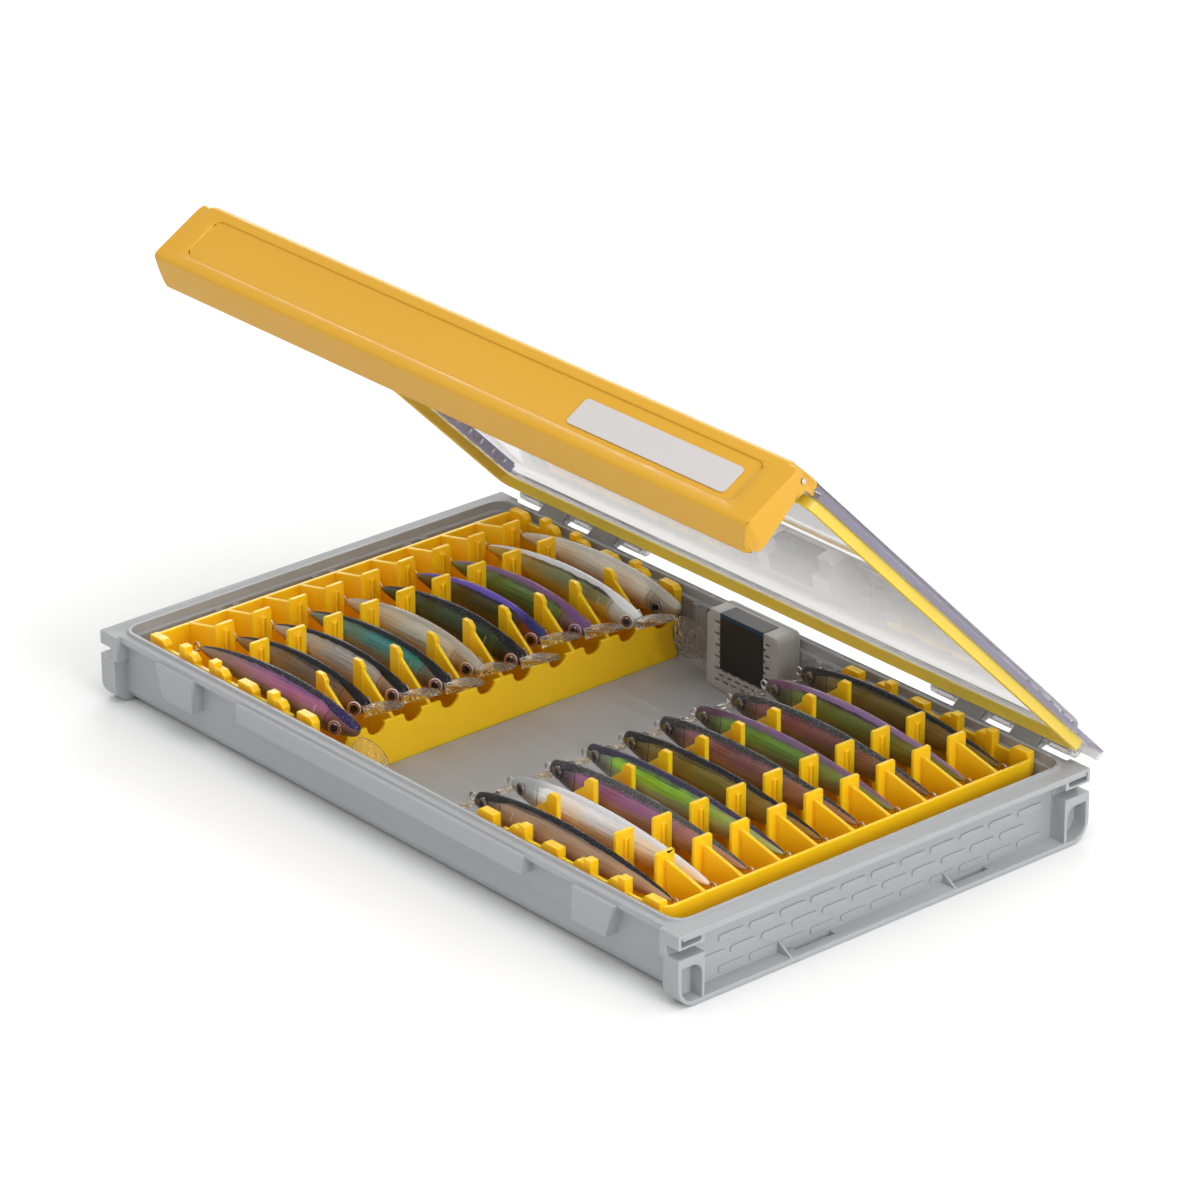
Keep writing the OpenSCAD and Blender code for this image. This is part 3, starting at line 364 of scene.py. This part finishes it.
def lure_coat(name, coat, seed):
    """Lacquered lure: narrow dark back, streaked iridescent flanks, clear head with a gill line, clear gloss."""
    back, crown, band, upper, lower, belly, cheek, _, _, glitter = coat
    finish, tree, shader = new_finish(name)
    place = object_place(tree)
    along = attribute(tree, "along")
    height = attribute(tree, "height")
    streak = noise(tree, body_place(tree, along, height, 3.5, 11.0, seed), 1.0, 4.0, roughness=0.6)
    grain = noise(tree, body_place(tree, along, height, 26.0, 34.0, seed + 5), 1.0, 2.0)
    cloud = noise(tree, place, 130.0 + seed, 3.0)
    wander = spread(tree, cloud, 0.3, 0.7, -0.03, 0.03)
    ragged = math_node(tree, "ADD", height, wander)
    leant = math_node(tree, "ADD", ragged, spread(tree, streak, 0.3, 0.7, -0.12, 0.12))
    flank_tone = colour_bands(tree, spread(tree, leant, -1.0, 1.0, 0.0, 1.0), (
        (0.14, belly), (0.48, lower), (0.68, upper), (0.82, upper), (0.885, band)), "EASE")
    tailed = mixed(tree, spread(tree, along, 0.50, 0.85, 0.0, 0.8), flank_tone, rgba(lower))
    shade = math_node(tree, "MULTIPLY", spread(tree, streak, 0.30, 0.72, 1.10, 1.55),
                      spread(tree, grain, 0.3, 0.7, 0.96, 1.05))
    streaked = add(tree, "ShaderNodeVectorMath", {0: tailed, "Scale": shade}, operation="SCALE").outputs[0]
    # Clear head in front of the gill line
    headed = mixed(tree, spread(tree, math_node(tree, "ADD", along, math_node(tree, "MULTIPLY", wander, 0.2)),
                                0.15, 0.20, 0.85, 0.0), streaked, rgba(cheek))
    bow = math_node(tree, "MULTIPLY", math_node(tree, "MULTIPLY", height, height), 0.035)
    gill = math_node(tree, "ABSOLUTE", math_node(tree, "SUBTRACT", math_node(tree, "ADD", along, bow), 0.182))
    gilled = mixed(tree, spread(tree, gill, 0.0008, 0.0034, 0.75, 0.0), headed, rgba([c * 0.2 for c in cheek]))
    flute = math_node(tree, "ABSOLUTE", math_node(tree, "SUBTRACT", along, 0.245))
    short = spread(tree, math_node(tree, "ABSOLUTE", math_node(tree, "SUBTRACT", height, 0.28)), 0.16, 0.24, 0.7, 0.0)
    fluted = mixed(tree, math_node(tree, "MULTIPLY", spread(tree, flute, 0.0008, 0.0030, 1.0, 0.0), short),
                   gilled, (0.62, 0.60, 0.58, 1))
    # The dark back is a narrow band that widens over the head
    crest = math_node(tree, "ADD", ragged, spread(tree, along, 0.05, 0.22, 0.50, 0.0))
    on_back = spread(tree, crest, 0.80, 0.85, 0.0, 1.0)
    back_tone = mixed(tree, spread(tree, along, 0.14, 0.26, 1.0, 0.0), rgba(back), rgba(crown))
    painted = mixed(tree, on_back, fluted, back_tone)
    flakes = add(tree, "ShaderNodeTexVoronoi", {"Vector": place, "Scale": 4200.0})
    spark = spread(tree, add(tree, "ShaderNodeSeparateColor", {"Color": flakes.outputs["Color"]}).outputs[0],
                   0.88, 1.0, 0.0, glitter * 0.5)
    near_back = spread(tree, crest, 0.45, 0.80, 0.05, 1.0)
    tree.links.new(mixed(tree, math_node(tree, "MULTIPLY", spark, near_back), painted, (0.62, 0.66, 0.70, 1)),
                   shader.inputs["Base Color"])
    tree.links.new(spread(tree, on_back, 0.0, 1.0, 0.22, 0.0), shader.inputs["Metallic"])
    tree.links.new(spread(tree, streak, 0.3, 0.7, 0.24, 0.38), shader.inputs["Roughness"])
    pebbles = noise(tree, place, 1500.0, 2.0)
    tree.links.new(bump(tree, math_node(tree, "MULTIPLY", pebbles, near_back), 0.35, 0.00010), shader.inputs["Normal"])
    shader.inputs["Specular IOR Level"].default_value = 0.08
    shader.inputs["Coat Weight"].default_value = 0.30
    shader.inputs["Coat Roughness"].default_value = 0.03
    shader.inputs["Coat IOR"].default_value = 1.45
    return finish


def eye_coat(name, ring, rim, cheek):
    """Glass eye: large black pupil, thin foil ring, dark gap and a pale rim under a clear dome."""
    finish, tree, shader = new_finish(name)
    reach = attribute(tree, "reach")
    # The last stop, half the cheek colour, darkens the lens's sunk skirt: painted shade where the eye meets the head
    rings = colour_bands(tree, reach, (
        (0.0, (0.003, 0.003, 0.003)), (0.53, (0.004, 0.003, 0.003)), (0.57, ring), (0.66, ring),
        (0.70, (0.010, 0.006, 0.005)), (0.79, (0.012, 0.008, 0.007)), (0.84, rim), (0.92, rim),
        (0.97, [c * 0.5 for c in cheek])))
    foil = noise(tree, object_place(tree), 1700.0, 2.0)
    tree.links.new(mixed(tree, spread(tree, foil, 0.45, 0.75, 0.0, 0.25), rings, (0.03, 0.018, 0.014, 1)),
                   shader.inputs["Base Color"])
    shader.inputs["Roughness"].default_value = 0.16
    shader.inputs["Specular IOR Level"].default_value = 0.3
    shader.inputs["Coat Weight"].default_value = 0.8
    shader.inputs["Coat Roughness"].default_value = 0.01
    return finish


def rubber(name, colour):
    """Soft seal: satin, slightly see-through, with a fine grain in its surface."""
    finish, tree, shader = new_finish(name)
    place = object_place(tree)
    slow = noise(tree, place, 40.0, 3.0)
    tree.links.new(mixed(tree, slow, rgba([c * 0.93 for c in colour]), rgba([min(1, c * 1.05) for c in colour])),
                   shader.inputs["Base Color"])
    tree.links.new(bump(tree, noise(tree, place, 1800.0), 0.4, 0.00004), shader.inputs["Normal"])
    shader.inputs["Roughness"].default_value = 0.38
    shader.inputs["Subsurface Weight"].default_value = 0.8
    shader.inputs["Subsurface Radius"].default_value = (1.0, 0.75, 0.12)
    shader.inputs["Subsurface Scale"].default_value = 0.005
    return finish


def sticker(name, colour, line, edge_z):
    """Dark coated paper with a thin coloured line where it folds."""
    finish, tree, shader = new_finish(name)
    place = object_place(tree)
    z = add(tree, "ShaderNodeSeparateXYZ", {"Vector": place}).outputs["Z"]
    off = math_node(tree, "ABSOLUTE", math_node(tree, "SUBTRACT", z, edge_z))
    share = spread(tree, off, 0.00035, 0.0006, 1.0, 0.0)
    tree.links.new(mixed(tree, share, rgba(colour), rgba(line)), shader.inputs["Base Color"])
    paper = noise(tree, place, 1600.0, 3.0)
    tree.links.new(spread(tree, paper, 0.3, 0.7, 0.36, 0.42), shader.inputs["Roughness"])
    shader.inputs["Specular IOR Level"].default_value = 0.2
    return finish


def beads(name):
    """Drying beads behind the slots, each light in its middle and dark at its edge: painted light and shade of round
    beads.
    """
    finish, tree, shader = new_finish(name)
    cells = add(tree, "ShaderNodeTexVoronoi", {"Vector": object_place(tree), "Scale": 420.0})
    # Light cell middles and dark cell edges: painted light on the beads and painted shade between them
    tree.links.new(mixed(tree, spread(tree, cells.outputs["Distance"], 0.0, 0.6, 1.0, 0.0),
                         (0.02, 0.03, 0.05, 1), (0.30, 0.38, 0.50, 1)), shader.inputs["Base Color"])
    tree.links.new(bump(tree, cells.outputs["Distance"], -0.8, 0.0008), shader.inputs["Normal"])
    shader.inputs["Roughness"].default_value = 0.35
    return finish


# Settings that a user would change


class LureBoxSizes(bpy.types.PropertyGroup):
    """Sizes of the looks"""

    ease: FloatProperty(name="Eased corners", description="Width of the eased corners of the mouldings",
                        default=0.00028, min=0.0, max=0.0006, unit="LENGTH")
    latch_ease: FloatProperty(name="Latch corners", description="Width of the latch's eased corners",
                              default=0.00025, min=0.0, max=0.0006, unit="LENGTH")
    pad_height: FloatProperty(name="Wall pads", description="Height of the low pads on the side walls",
                              default=0.00045, min=0.0001, max=0.0008, unit="LENGTH")
    lure_rise: FloatProperty(name="Lure back", description="Height of a lure's back above its nose line",
                             default=0.0094, min=0.008, max=0.010, unit="LENGTH")
    lure_sag: FloatProperty(name="Lure belly", description="Depth of a lure's belly below its nose line",
                            default=0.0076, min=0.006, max=0.0078, unit="LENGTH")
    lure_width: FloatProperty(name="Lure width", description="Thickness of a lure",
                              default=0.0102, min=0.008, max=0.0108, unit="LENGTH")
    eye_radius: FloatProperty(name="Eye", description="Radius of a lure's eye",
                              default=0.0032, min=0.002, max=0.0035, unit="LENGTH")
    lure_rings: IntProperty(name="Lure rings", description="Rings of faces along a lure",
                            default=44, min=16, max=64)


class LureBoxColours(bpy.types.PropertyGroup):
    """Colours of the mouldings"""

    grey: FloatVectorProperty(name="Base", description="Grey of the base", subtype="COLOR",
                              default=(0.345, 0.350, 0.357), min=0, max=1)
    yellow: FloatVectorProperty(name="Racks", description="Yellow of the racks", subtype="COLOR",
                                default=(0.960, 0.530, 0.006), min=0, max=1)
    latch: FloatVectorProperty(name="Latch", description="Yellow-orange of the latch", subtype="COLOR",
                               default=(0.575, 0.300, 0.008), min=0, max=1)
    clear: FloatVectorProperty(name="Lid", description="Tint of the clear lid", subtype="COLOR",
                               default=(0.760, 0.750, 0.735), min=0, max=1)
    # The lid's side walls take a darker violet grey: painted shade and reflection of the clear plastic seen edge on
    lid_wall_shade: FloatVectorProperty(name="Lid walls", description="Tint of the lid's raised side walls",
                                   subtype="COLOR", default=(0.30, 0.28, 0.37), min=0, max=1)
    # The hinge lugs take a milkier grey: painted shade of the thick clear plastic
    lid_lug_shade: FloatVectorProperty(name="Lid lugs", description="Tint of the lid's hinge lugs",
                                  subtype="COLOR", default=(0.72, 0.71, 0.71), min=0, max=1)
    seal: FloatVectorProperty(name="Seal", description="Yellow of the seal", subtype="COLOR",
                              default=(0.670, 0.500, 0.055), min=0, max=1)
    insert: FloatVectorProperty(name="Insert", description="White of the bare insert", subtype="COLOR",
                                default=(0.500, 0.475, 0.465), min=0, max=1)
    case: FloatVectorProperty(name="Case", description="Grey of the drying case", subtype="COLOR",
                              default=(0.375, 0.365, 0.345), min=0, max=1)
    sticker: FloatVectorProperty(name="Sticker", description="Black of the case's plain sticker", subtype="COLOR",
                                 default=(0.022, 0.021, 0.020), min=0, max=1)


def sizes():
    return bpy.context.scene.lure_box_sizes


def colours():
    return bpy.context.scene.lure_box_colours


# Base


class LUREBOX_OT_base(bpy.types.Operator):
    """Dress the grey base and the steel hinge pins"""

    bl_idname = "lure_box.base"
    bl_label = "Base"

    def execute(self, context):
        grey = moulded_plastic("grey_moulding", colours().grey, 0.46, 2400.0, 0.00006, 0.03)
        eased_copy("base", "base_moulding", "base", grey, sizes().ease)
        wire = steel("hinge_steel")
        for side in ("left", "right"):
            eased_copy(f"hinge_pin_{side}", f"pin_{side}", "base", wire, WIRE_EASE)
        return {"FINISHED"}


def wall_pad(bm, foot, top, y, z, length, height):
    """A low pad with round ends on a side wall, from its foot in the wall out to its top."""
    made = bmesh.ops.create_circle(bm, cap_ends=True, cap_tris=False, segments=20, radius=height / 2)
    for v in made["verts"]:
        across, up = v.co.x, v.co.y
        across += (length - height) / 2 * (1 if across > 1e-6 else -1 if across < -1e-6 else 0)
        v.co = (foot, y + across, z + up)
    raised = bmesh.ops.extrude_face_region(bm, geom=[made["verts"][0].link_faces[0]])
    risen = [g for g in raised["geom"] if isinstance(g, bmesh.types.BMVert)]
    bmesh.ops.translate(bm, verts=risen, vec=(top - foot, 0, 0))


class LUREBOX_OT_wall_pattern(bpy.types.Operator):
    """Raise the staggered rows of low pads on the two side walls"""

    bl_idname = "lure_box.wall_pattern"
    bl_label = "Wall pattern"

    def execute(self, context):
        grey = bpy.data.materials["grey_moulding"]
        wall, end, pitch, length, height = 0.170, 0.0918, 0.01565, 0.0132, 0.0029
        rows, first_row, row_rise, phases, buried = 4, 0.0051, 0.0065, (-0.0048, 0.00125), 0.0012
        for side, out in (("left", -1), ("right", 1)):
            bm = bmesh.new()
            for row in range(rows):
                z = first_row + row * row_rise
                for k in range(-6, 7):
                    middle = phases[row % 2] + k * pitch - length / 2
                    if abs(middle) + length / 2 < end:
                        wall_pad(bm, out * (wall - buried), out * (wall + sizes().pad_height),
                                 middle, z, length, height)
            bmesh.ops.recalc_face_normals(bm, faces=bm.faces)
            finished_object(f"wall_pattern_{side}", mesh_from(bm, f"wall_pattern_{side}", math.radians(40)),
                            "base", [grey])
        return {"FINISHED"}


def merge_inner_wall(bm):
    """Join the long thin triangles of a rack's flat inner wall into one face."""
    wall = [face for face in bm.faces
            if abs(face.normal.x) > 0.999 and abs(abs(face.calc_center_median().x) - RACK_IN) < 1e-5]
    bmesh.ops.dissolve_faces(bm, faces=wall, use_verts=False)


class LUREBOX_OT_racks(bpy.types.Operator):
    """Dress the two yellow racks"""

    bl_idname = "lure_box.racks"
    bl_label = "Racks"

    def execute(self, context):
        yellow = moulded_plastic("yellow_moulding", colours().yellow, 0.36, 1500.0, 0.00003, 0.01, glow=0.7)
        for side in ("left", "right"):
            eased_copy(f"rack_{side}", f"rack_moulding_{side}", f"rack_{side}", yellow,
                       RACK_EASE, shape=merge_inner_wall)
        return {"FINISHED"}


# Lid and latch


def round_rear_corners(bm):
    """Round the latch's two rear corners, seen square on to its face."""
    slope, wall, end, radius, cuts = Vector((0, 0.8625, 0.5060)), 0.0639, 0.177, 0.008, 5
    for k in range(1, cuts + 1):
        step = radius * k / cuts
        for where, normal in (((end - step, 0, 0), (1, 0, 0)), ((step - end, 0, 0), (1, 0, 0)),
                              (slope * (wall - step), slope)):
            bmesh.ops.bisect_plane(bm, geom=bm.verts[:] + bm.edges[:] + bm.faces[:], dist=1e-7,
                                   plane_co=where, plane_no=normal)
    for v in bm.verts:
        out = abs(v.co.x) - (end - radius)
        back = v.co.dot(slope) - (wall - radius)
        if out > 0 and back > 0:
            share = max(out, back) / math.hypot(out, back) - 1
            v.co += Vector((math.copysign(out, v.co.x) * share, 0, 0)) + slope * (back * share)


class LUREBOX_OT_lid(bpy.types.Operator):
    """Dress the clear lid and the rod on its front edge"""

    bl_idname = "lure_box.lid"
    bl_label = "Lid"

    def execute(self, context):
        clear = clear_plastic("clear_moulding", colours().clear, 0.012, 35.0, 0.00003, 1.22, 0.6)
        # The side walls' copy of the clear plastic is darker and violet: painted shade and reflection
        walls = clear_plastic("clear_walls_shade", colours().lid_wall_shade, 0.06, 35.0, 0.00003, 1.15, 0.6, 0.55)
        # The lugs' copy of the clear plastic is greyer and less clear: painted shade
        lugs = clear_plastic("clear_lugs_shade", colours().lid_lug_shade, 0.08, 60.0, 0.0001, 1.15, 0.6, 0.65)
        lid = eased_copy("lid", "lid_moulding", "lid", clear, sizes().ease)
        lid.data.materials.append(walls)
        lid.data.materials.append(lugs)
        for face in lid.data.polygons:
            middle = face.center
            # Faces round the pins get the milky grey copy: painted shade
            if math.hypot(middle.y - PIN_AXIS[0], middle.z - PIN_AXIS[1]) < LUG_REACH:
                face.material_index = 2
            # Side walls get the darker violet copy: painted shade and reflection
            elif abs(face.normal.x) > 0.8 and abs(middle.x) > LID_SIDE:
                face.material_index = 1
        eased_copy("latch_rod", "rod", "lid", bpy.data.materials["hinge_steel"], WIRE_EASE)
        return {"FINISHED"}


class LUREBOX_OT_seal(bpy.types.Operator):
    """Dress the yellow seal under the lid's flange"""

    bl_idname = "lure_box.seal"
    bl_label = "Seal"

    def execute(self, context):
        soft = rubber("seal_rubber", colours().seal)
        eased_copy("lid_seal", "seal_ring", "lid", soft, SEAL_EASE, 3)
        return {"FINISHED"}


class LUREBOX_OT_latch(bpy.types.Operator):
    """Dress the latch and its bare white insert"""

    bl_idname = "lure_box.latch"
    bl_label = "Latch"

    def execute(self, context):
        orange = moulded_plastic("latch_moulding", colours().latch, 0.40, 2100.0, 0.00004, 0.025)
        eased_copy("latch", "latch_shell", "latch", orange, sizes().latch_ease,
                   shape=round_rear_corners)
        white = moulded_plastic("insert_white", colours().insert, 0.42, 2600.0, 0.00002, 0.02)
        eased_copy("label_insert", "insert_plate", "latch", white, INSERT_EASE)
        return {"FINISHED"}


# Drying case


class LUREBOX_OT_desiccant(bpy.types.Operator):
    """Dress the slotted drying case, its beads and its plain sticker"""

    bl_idname = "lure_box.desiccant"
    bl_label = "Drying case"

    def execute(self, context):
        grey = moulded_plastic("case_moulding", colours().case, 0.42, 2400.0, 0.00005, 0.03)
        eased_copy("desiccant_case", "case_shell", "desiccant", grey, CASE_EASE)
        eased_copy("desiccant_back", "case_back", "desiccant", grey, CASE_BACK_EASE)
        eased_copy("desiccant_filling", "case_beads", "desiccant", beads("drying_beads"), 0)
        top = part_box("desiccant_case")[1].z
        dark = sticker("plain_sticker", colours().sticker, (0.010, 0.060, 0.140), top - 0.0008)
        eased_copy("desiccant_label", "case_sticker", "desiccant", dark, STICKER_EASE)
        return {"FINISHED"}


# Lures


def swell(s, lead, blunt):
    """Rise from the nose and fall to the tail."""
    return max(0.0, math.sin(math.pi * s**lead)) ** blunt


def lure_ends(side, slot):
    """Nose and tail of a lure, measured outwards from the middle of the box."""
    if side == "right":
        return RACK_IN + RACK_WIDTH * RIGHT_NOSE, RACK_IN + RACK_WIDTH * RIGHT_TAIL
    return RACK_IN + RACK_WIDTH * LEFT_NOSES[slot], RACK_IN + RACK_WIDTH * LEFT_TAIL


def slot_y(slot):
    return (slot - (SLOTS - 1) / 2) * SLOT_PITCH


def line_height(side, slot, s):
    """Height of a lure's nose line, which rises towards the head in the right rack."""
    if side == "left":
        return NOSE_Z + (BIG_LIFT if slot in BIG_SLOTS else 0.0)
    return NOSE_Z + RIGHT_LIFTS[slot] * max(0.0, 1 - s / 0.45) ** 1.5


def section(s):
    """Middle height, half height and half width of a lure at a share of its length."""
    top = sizes().lure_rise * swell(s, 0.85, 0.7)
    belly = -sizes().lure_sag * swell(s, 0.72, 0.8)
    return (top + belly) / 2, (top - belly) / 2, sizes().lure_width / 2 * swell(s, 0.78, 0.5)


def rounding(s):
    """Share of the full section near the two blunt ends."""
    near = min(1.0, (s - LURE_START) / 0.016, (LURE_END - s) / 0.020)
    return math.sqrt(max(0.0, 1 - (1 - near) ** 2))


def flank(s, up):
    """Half width at a height share: a narrow back over full flanks."""
    return section(s)[2] * math.sqrt(max(0.0, 1 - up * up)) * (1 - 0.4 * max(0.0, up))


def outwards(side):
    return -1 if side == "left" else 1


def lure_mesh(name, side, slot):
    """A sphere drawn out along the lure's length and shaped ring by ring."""
    nose, tail = lure_ends(side, slot)
    bm = bmesh.new()
    bmesh.ops.create_uvsphere(bm, u_segments=28, v_segments=sizes().lure_rings, radius=1.0)
    along = bm.verts.layers.float.new("along")
    height = bm.verts.layers.float.new("height")
    for v in bm.verts:
        share = (1 - v.co.z) / 2
        s = LURE_START + (LURE_END - LURE_START) * share
        round_r = math.hypot(v.co.x, v.co.y)
        up = v.co.x / round_r if round_r > 1e-5 else 0.0
        mid, half, _ = section(s)
        full = rounding(s)
        wide = full * flank(s, up) * (1 if v.co.y > 0 else -1) if round_r > 1e-5 else 0.0
        v[along] = s
        v[height] = up
        v.co = (outwards(side) * (nose + (tail - nose) * s), slot_y(slot) + wide,
                line_height(side, slot, s) + mid + full * half * up)
    bmesh.ops.recalc_face_normals(bm, faces=bm.faces)
    return mesh_from(bm, name)


class LUREBOX_OT_lures(bpy.types.Operator):
    """Make the twenty lacquered lures"""

    bl_idname = "lure_box.lures"
    bl_label = "Lures"

    def execute(self, context):
        for side, coats in (("left", LEFT_COATS), ("right", RIGHT_COATS)):
            for slot, coat in enumerate(coats):
                tag = f"{side[0]}{slot + 1:02d}"
                finish = lure_coat(f"coat_{tag}", coat, 3.7 * slot + (11 if side == "left" else 0))
                finished_object(f"lure_body_{tag}", lure_mesh(f"lure_body_{tag}", side, slot),
                                f"rack_{side}", [finish], [f"lure_{tag}"])
        return {"FINISHED"}


def skin(side, slot, s, z, flip):
    """Point on a lure's flank at a share of its length and a height above its nose line."""
    nose, tail = lure_ends(side, slot)
    mid, half, _ = section(s)
    up = max(-0.95, min(0.95, (z - mid) / half))
    return Vector((outwards(side) * (nose + (tail - nose) * s), slot_y(slot) + flip * rounding(s) * flank(s, up),
                   line_height(side, slot, s) + z))


def eye_cap(bm, reach, side, slot, flip):
    """A domed lens laid square on the flank of a head."""
    nose, tail = lure_ends(side, slot)
    radius = sizes().eye_radius * EYE_SCALES[side]
    behind, z = EYE_PLACES["big" if side == "left" and slot in (0, 9) else side]
    s = LURE_START + behind / (tail - nose)
    centre = skin(side, slot, s, z, flip)
    forward, raised = EYE_TILTS[side]
    out = Vector((-outwards(side) * forward, flip, raised)).normalized()
    fore = out.cross(Vector((0, 0, 1))).normalized()
    upward = fore.cross(out)
    made = bmesh.ops.create_uvsphere(bm, u_segments=28, v_segments=20, radius=1.0)
    for v in made["verts"]:
        x, y, deep = v.co
        v[reach] = math.hypot(x, y) if deep > -0.01 else 1.0
        depth = deep * (EYE_DOME if deep > 0 else EYE_SKIRT)
        v.co = centre + (fore * x + upward * y) * radius + out * (EYE_PROUD + depth)


class LUREBOX_OT_eyes(bpy.types.Operator):
    """Set the eyes in the lures' heads"""

    bl_idname = "lure_box.eyes"
    bl_label = "Eyes"

    def execute(self, context):
        for side, coats in (("left", LEFT_COATS), ("right", RIGHT_COATS)):
            for slot, coat in enumerate(coats):
                tag = f"{side[0]}{slot + 1:02d}"
                bm = bmesh.new()
                reach = bm.verts.layers.float.new("reach")
                for flip in (-1, 1):
                    eye_cap(bm, reach, side, slot, flip)
                bmesh.ops.recalc_face_normals(bm, faces=bm.faces)
                finished_object(f"eyes_{tag}", mesh_from(bm, f"eyes_{tag}"), f"rack_{side}",
                                [eye_coat(f"eye_{tag}", coat[7], coat[8], coat[6])])
        return {"FINISHED"}


class LUREBOX_OT_lips(bpy.types.Operator):
    """Dress the clear diving lips and the wire rings of the lures"""

    bl_idname = "lure_box.lips"
    bl_label = "Lips and rings"

    def execute(self, context):
        clear = clear_plastic("lip_clear", (0.90, 0.86, 0.81), 0.03, 620.0, 0.0009)
        wire = steel("ring_steel")
        for side in ("left", "right"):
            eased_copy(f"lips_{side}", f"lip_plates_{side}", f"rack_{side}", clear, LIP_EASE)
            eased_copy(f"rings_{side}", f"wire_rings_{side}", f"rack_{side}", wire, 0)
        return {"FINISHED"}


# Stage


class LUREBOX_OT_stage(bpy.types.Operator):
    """Lay the pale floor, set the soft lights and place the camera"""

    bl_idname = "lure_box.stage"
    bl_label = "Stage"

    def execute(self, context):
        scene = context.scene
        bm = bmesh.new()
        bmesh.ops.create_grid(bm, x_segments=2, y_segments=2, size=9.0)
        bmesh.ops.translate(bm, verts=bm.verts, vec=(0, 0, -0.0003))
        floor = bpy.data.objects.new("floor", mesh_from(bm, "floor"))
        scene.collection.objects.link(floor)
        finish, tree, shader = new_finish("pale_floor")
        place = object_place(tree)
        # Darker near the box and paler further out: painted shade that deepens the soft shadow round the box, and
        # painted light that keeps the far floor white where the lamps fall off
        far = add(tree, "ShaderNodeVectorMath", {0: place}, operation="LENGTH").outputs["Value"]
        near = mixed(tree, noise(tree, place, 3.0), (0.79, 0.79, 0.79, 1), (0.80, 0.80, 0.80, 1))
        tree.links.new(mixed(tree, spread(tree, far, 0.25, 0.60, 0.0, 1.0), near, (0.95, 0.95, 0.95, 1)),
                       shader.inputs["Base Color"])
        shader.inputs["Roughness"].default_value = 0.9
        shader.inputs["Specular IOR Level"].default_value = 0.0
        floor.data.materials.append(finish)

        world = bpy.data.worlds.new("studio")
        world.use_nodes = True
        world.node_tree.nodes["Background"].inputs["Color"].default_value = (1, 1, 1, 1)
        world.node_tree.nodes["Background"].inputs["Strength"].default_value = 0.72
        scene.world = world
        for name, place, size, power in LIGHTS:
            light = bpy.data.lights.new(name, "AREA")
            light.shape = "RECTANGLE"
            light.size, light.size_y = size
            light.energy = power
            lamp = bpy.data.objects.new(name, light)
            lamp.location = place
            lamp.rotation_euler = (Vector((0, 0, 0.05)) - Vector(place)).to_track_quat("-Z", "Y").to_euler()
            scene.collection.objects.link(lamp)
        scene.view_settings.view_transform = "Standard"

        azimuth, elevation = math.radians(CAMERA_AZIMUTH), math.radians(CAMERA_ELEVATION)
        back = Vector((math.sin(azimuth) * math.cos(elevation), -math.cos(azimuth) * math.cos(elevation),
                       math.sin(elevation)))
        right = Vector((math.cos(azimuth), math.sin(azimuth), 0))
        above = back.cross(right)
        lens = bpy.data.cameras.new("camera")
        lens.sensor_width = 36.0
        lens.lens = CAMERA_LENS
        lens.clip_end = 50.0
        camera = bpy.data.objects.new("camera", lens)
        stand = Matrix.Translation(Vector(CAMERA_AIM) + back * CAMERA_DISTANCE)
        camera.matrix_world = stand @ Matrix((right, above, back)).transposed().to_4x4()
        scene.collection.objects.link(camera)
        scene.camera = camera
        return {"FINISHED"}


class LUREBOX_PT_panel(bpy.types.Panel):
    """Lists the pieces of the lure box and their settings"""

    bl_idname = "LUREBOX_PT_panel"
    bl_label = "Lure box"
    bl_space_type = "VIEW_3D"
    bl_region_type = "UI"
    bl_category = "Lure box"

    def draw(self, context):
        for operator in OPERATORS:
            self.layout.operator(operator.bl_idname)
        for group in (context.scene.lure_box_sizes, context.scene.lure_box_colours):
            for key in type(group).__annotations__:
                self.layout.prop(group, key)


OPERATORS = (
    LUREBOX_OT_stage,
    LUREBOX_OT_base,
    LUREBOX_OT_wall_pattern,
    LUREBOX_OT_racks,
    LUREBOX_OT_lid,
    LUREBOX_OT_seal,
    LUREBOX_OT_latch,
    LUREBOX_OT_desiccant,
    LUREBOX_OT_lures,
    LUREBOX_OT_eyes,
    LUREBOX_OT_lips,
)
CLASSES = (LureBoxSizes, LureBoxColours, *OPERATORS, LUREBOX_PT_panel)


def register():
    for made in CLASSES:
        bpy.utils.register_class(made)
    bpy.types.Scene.lure_box_sizes = PointerProperty(type=LureBoxSizes)
    bpy.types.Scene.lure_box_colours = PointerProperty(type=LureBoxColours)


def unregister():
    del bpy.types.Scene.lure_box_sizes
    del bpy.types.Scene.lure_box_colours
    for made in reversed(CLASSES):
        bpy.utils.unregister_class(made)


def main():
    register()
    bpy.ops.lure_box.stage()
    bpy.ops.lure_box.base()
    bpy.ops.lure_box.wall_pattern()
    bpy.ops.lure_box.racks()
    bpy.ops.lure_box.lid()
    bpy.ops.lure_box.seal()
    bpy.ops.lure_box.latch()
    bpy.ops.lure_box.desiccant()
    bpy.ops.lure_box.lures()
    bpy.ops.lure_box.eyes()
    bpy.ops.lure_box.lips()


if __name__ == "__main__":
    main()
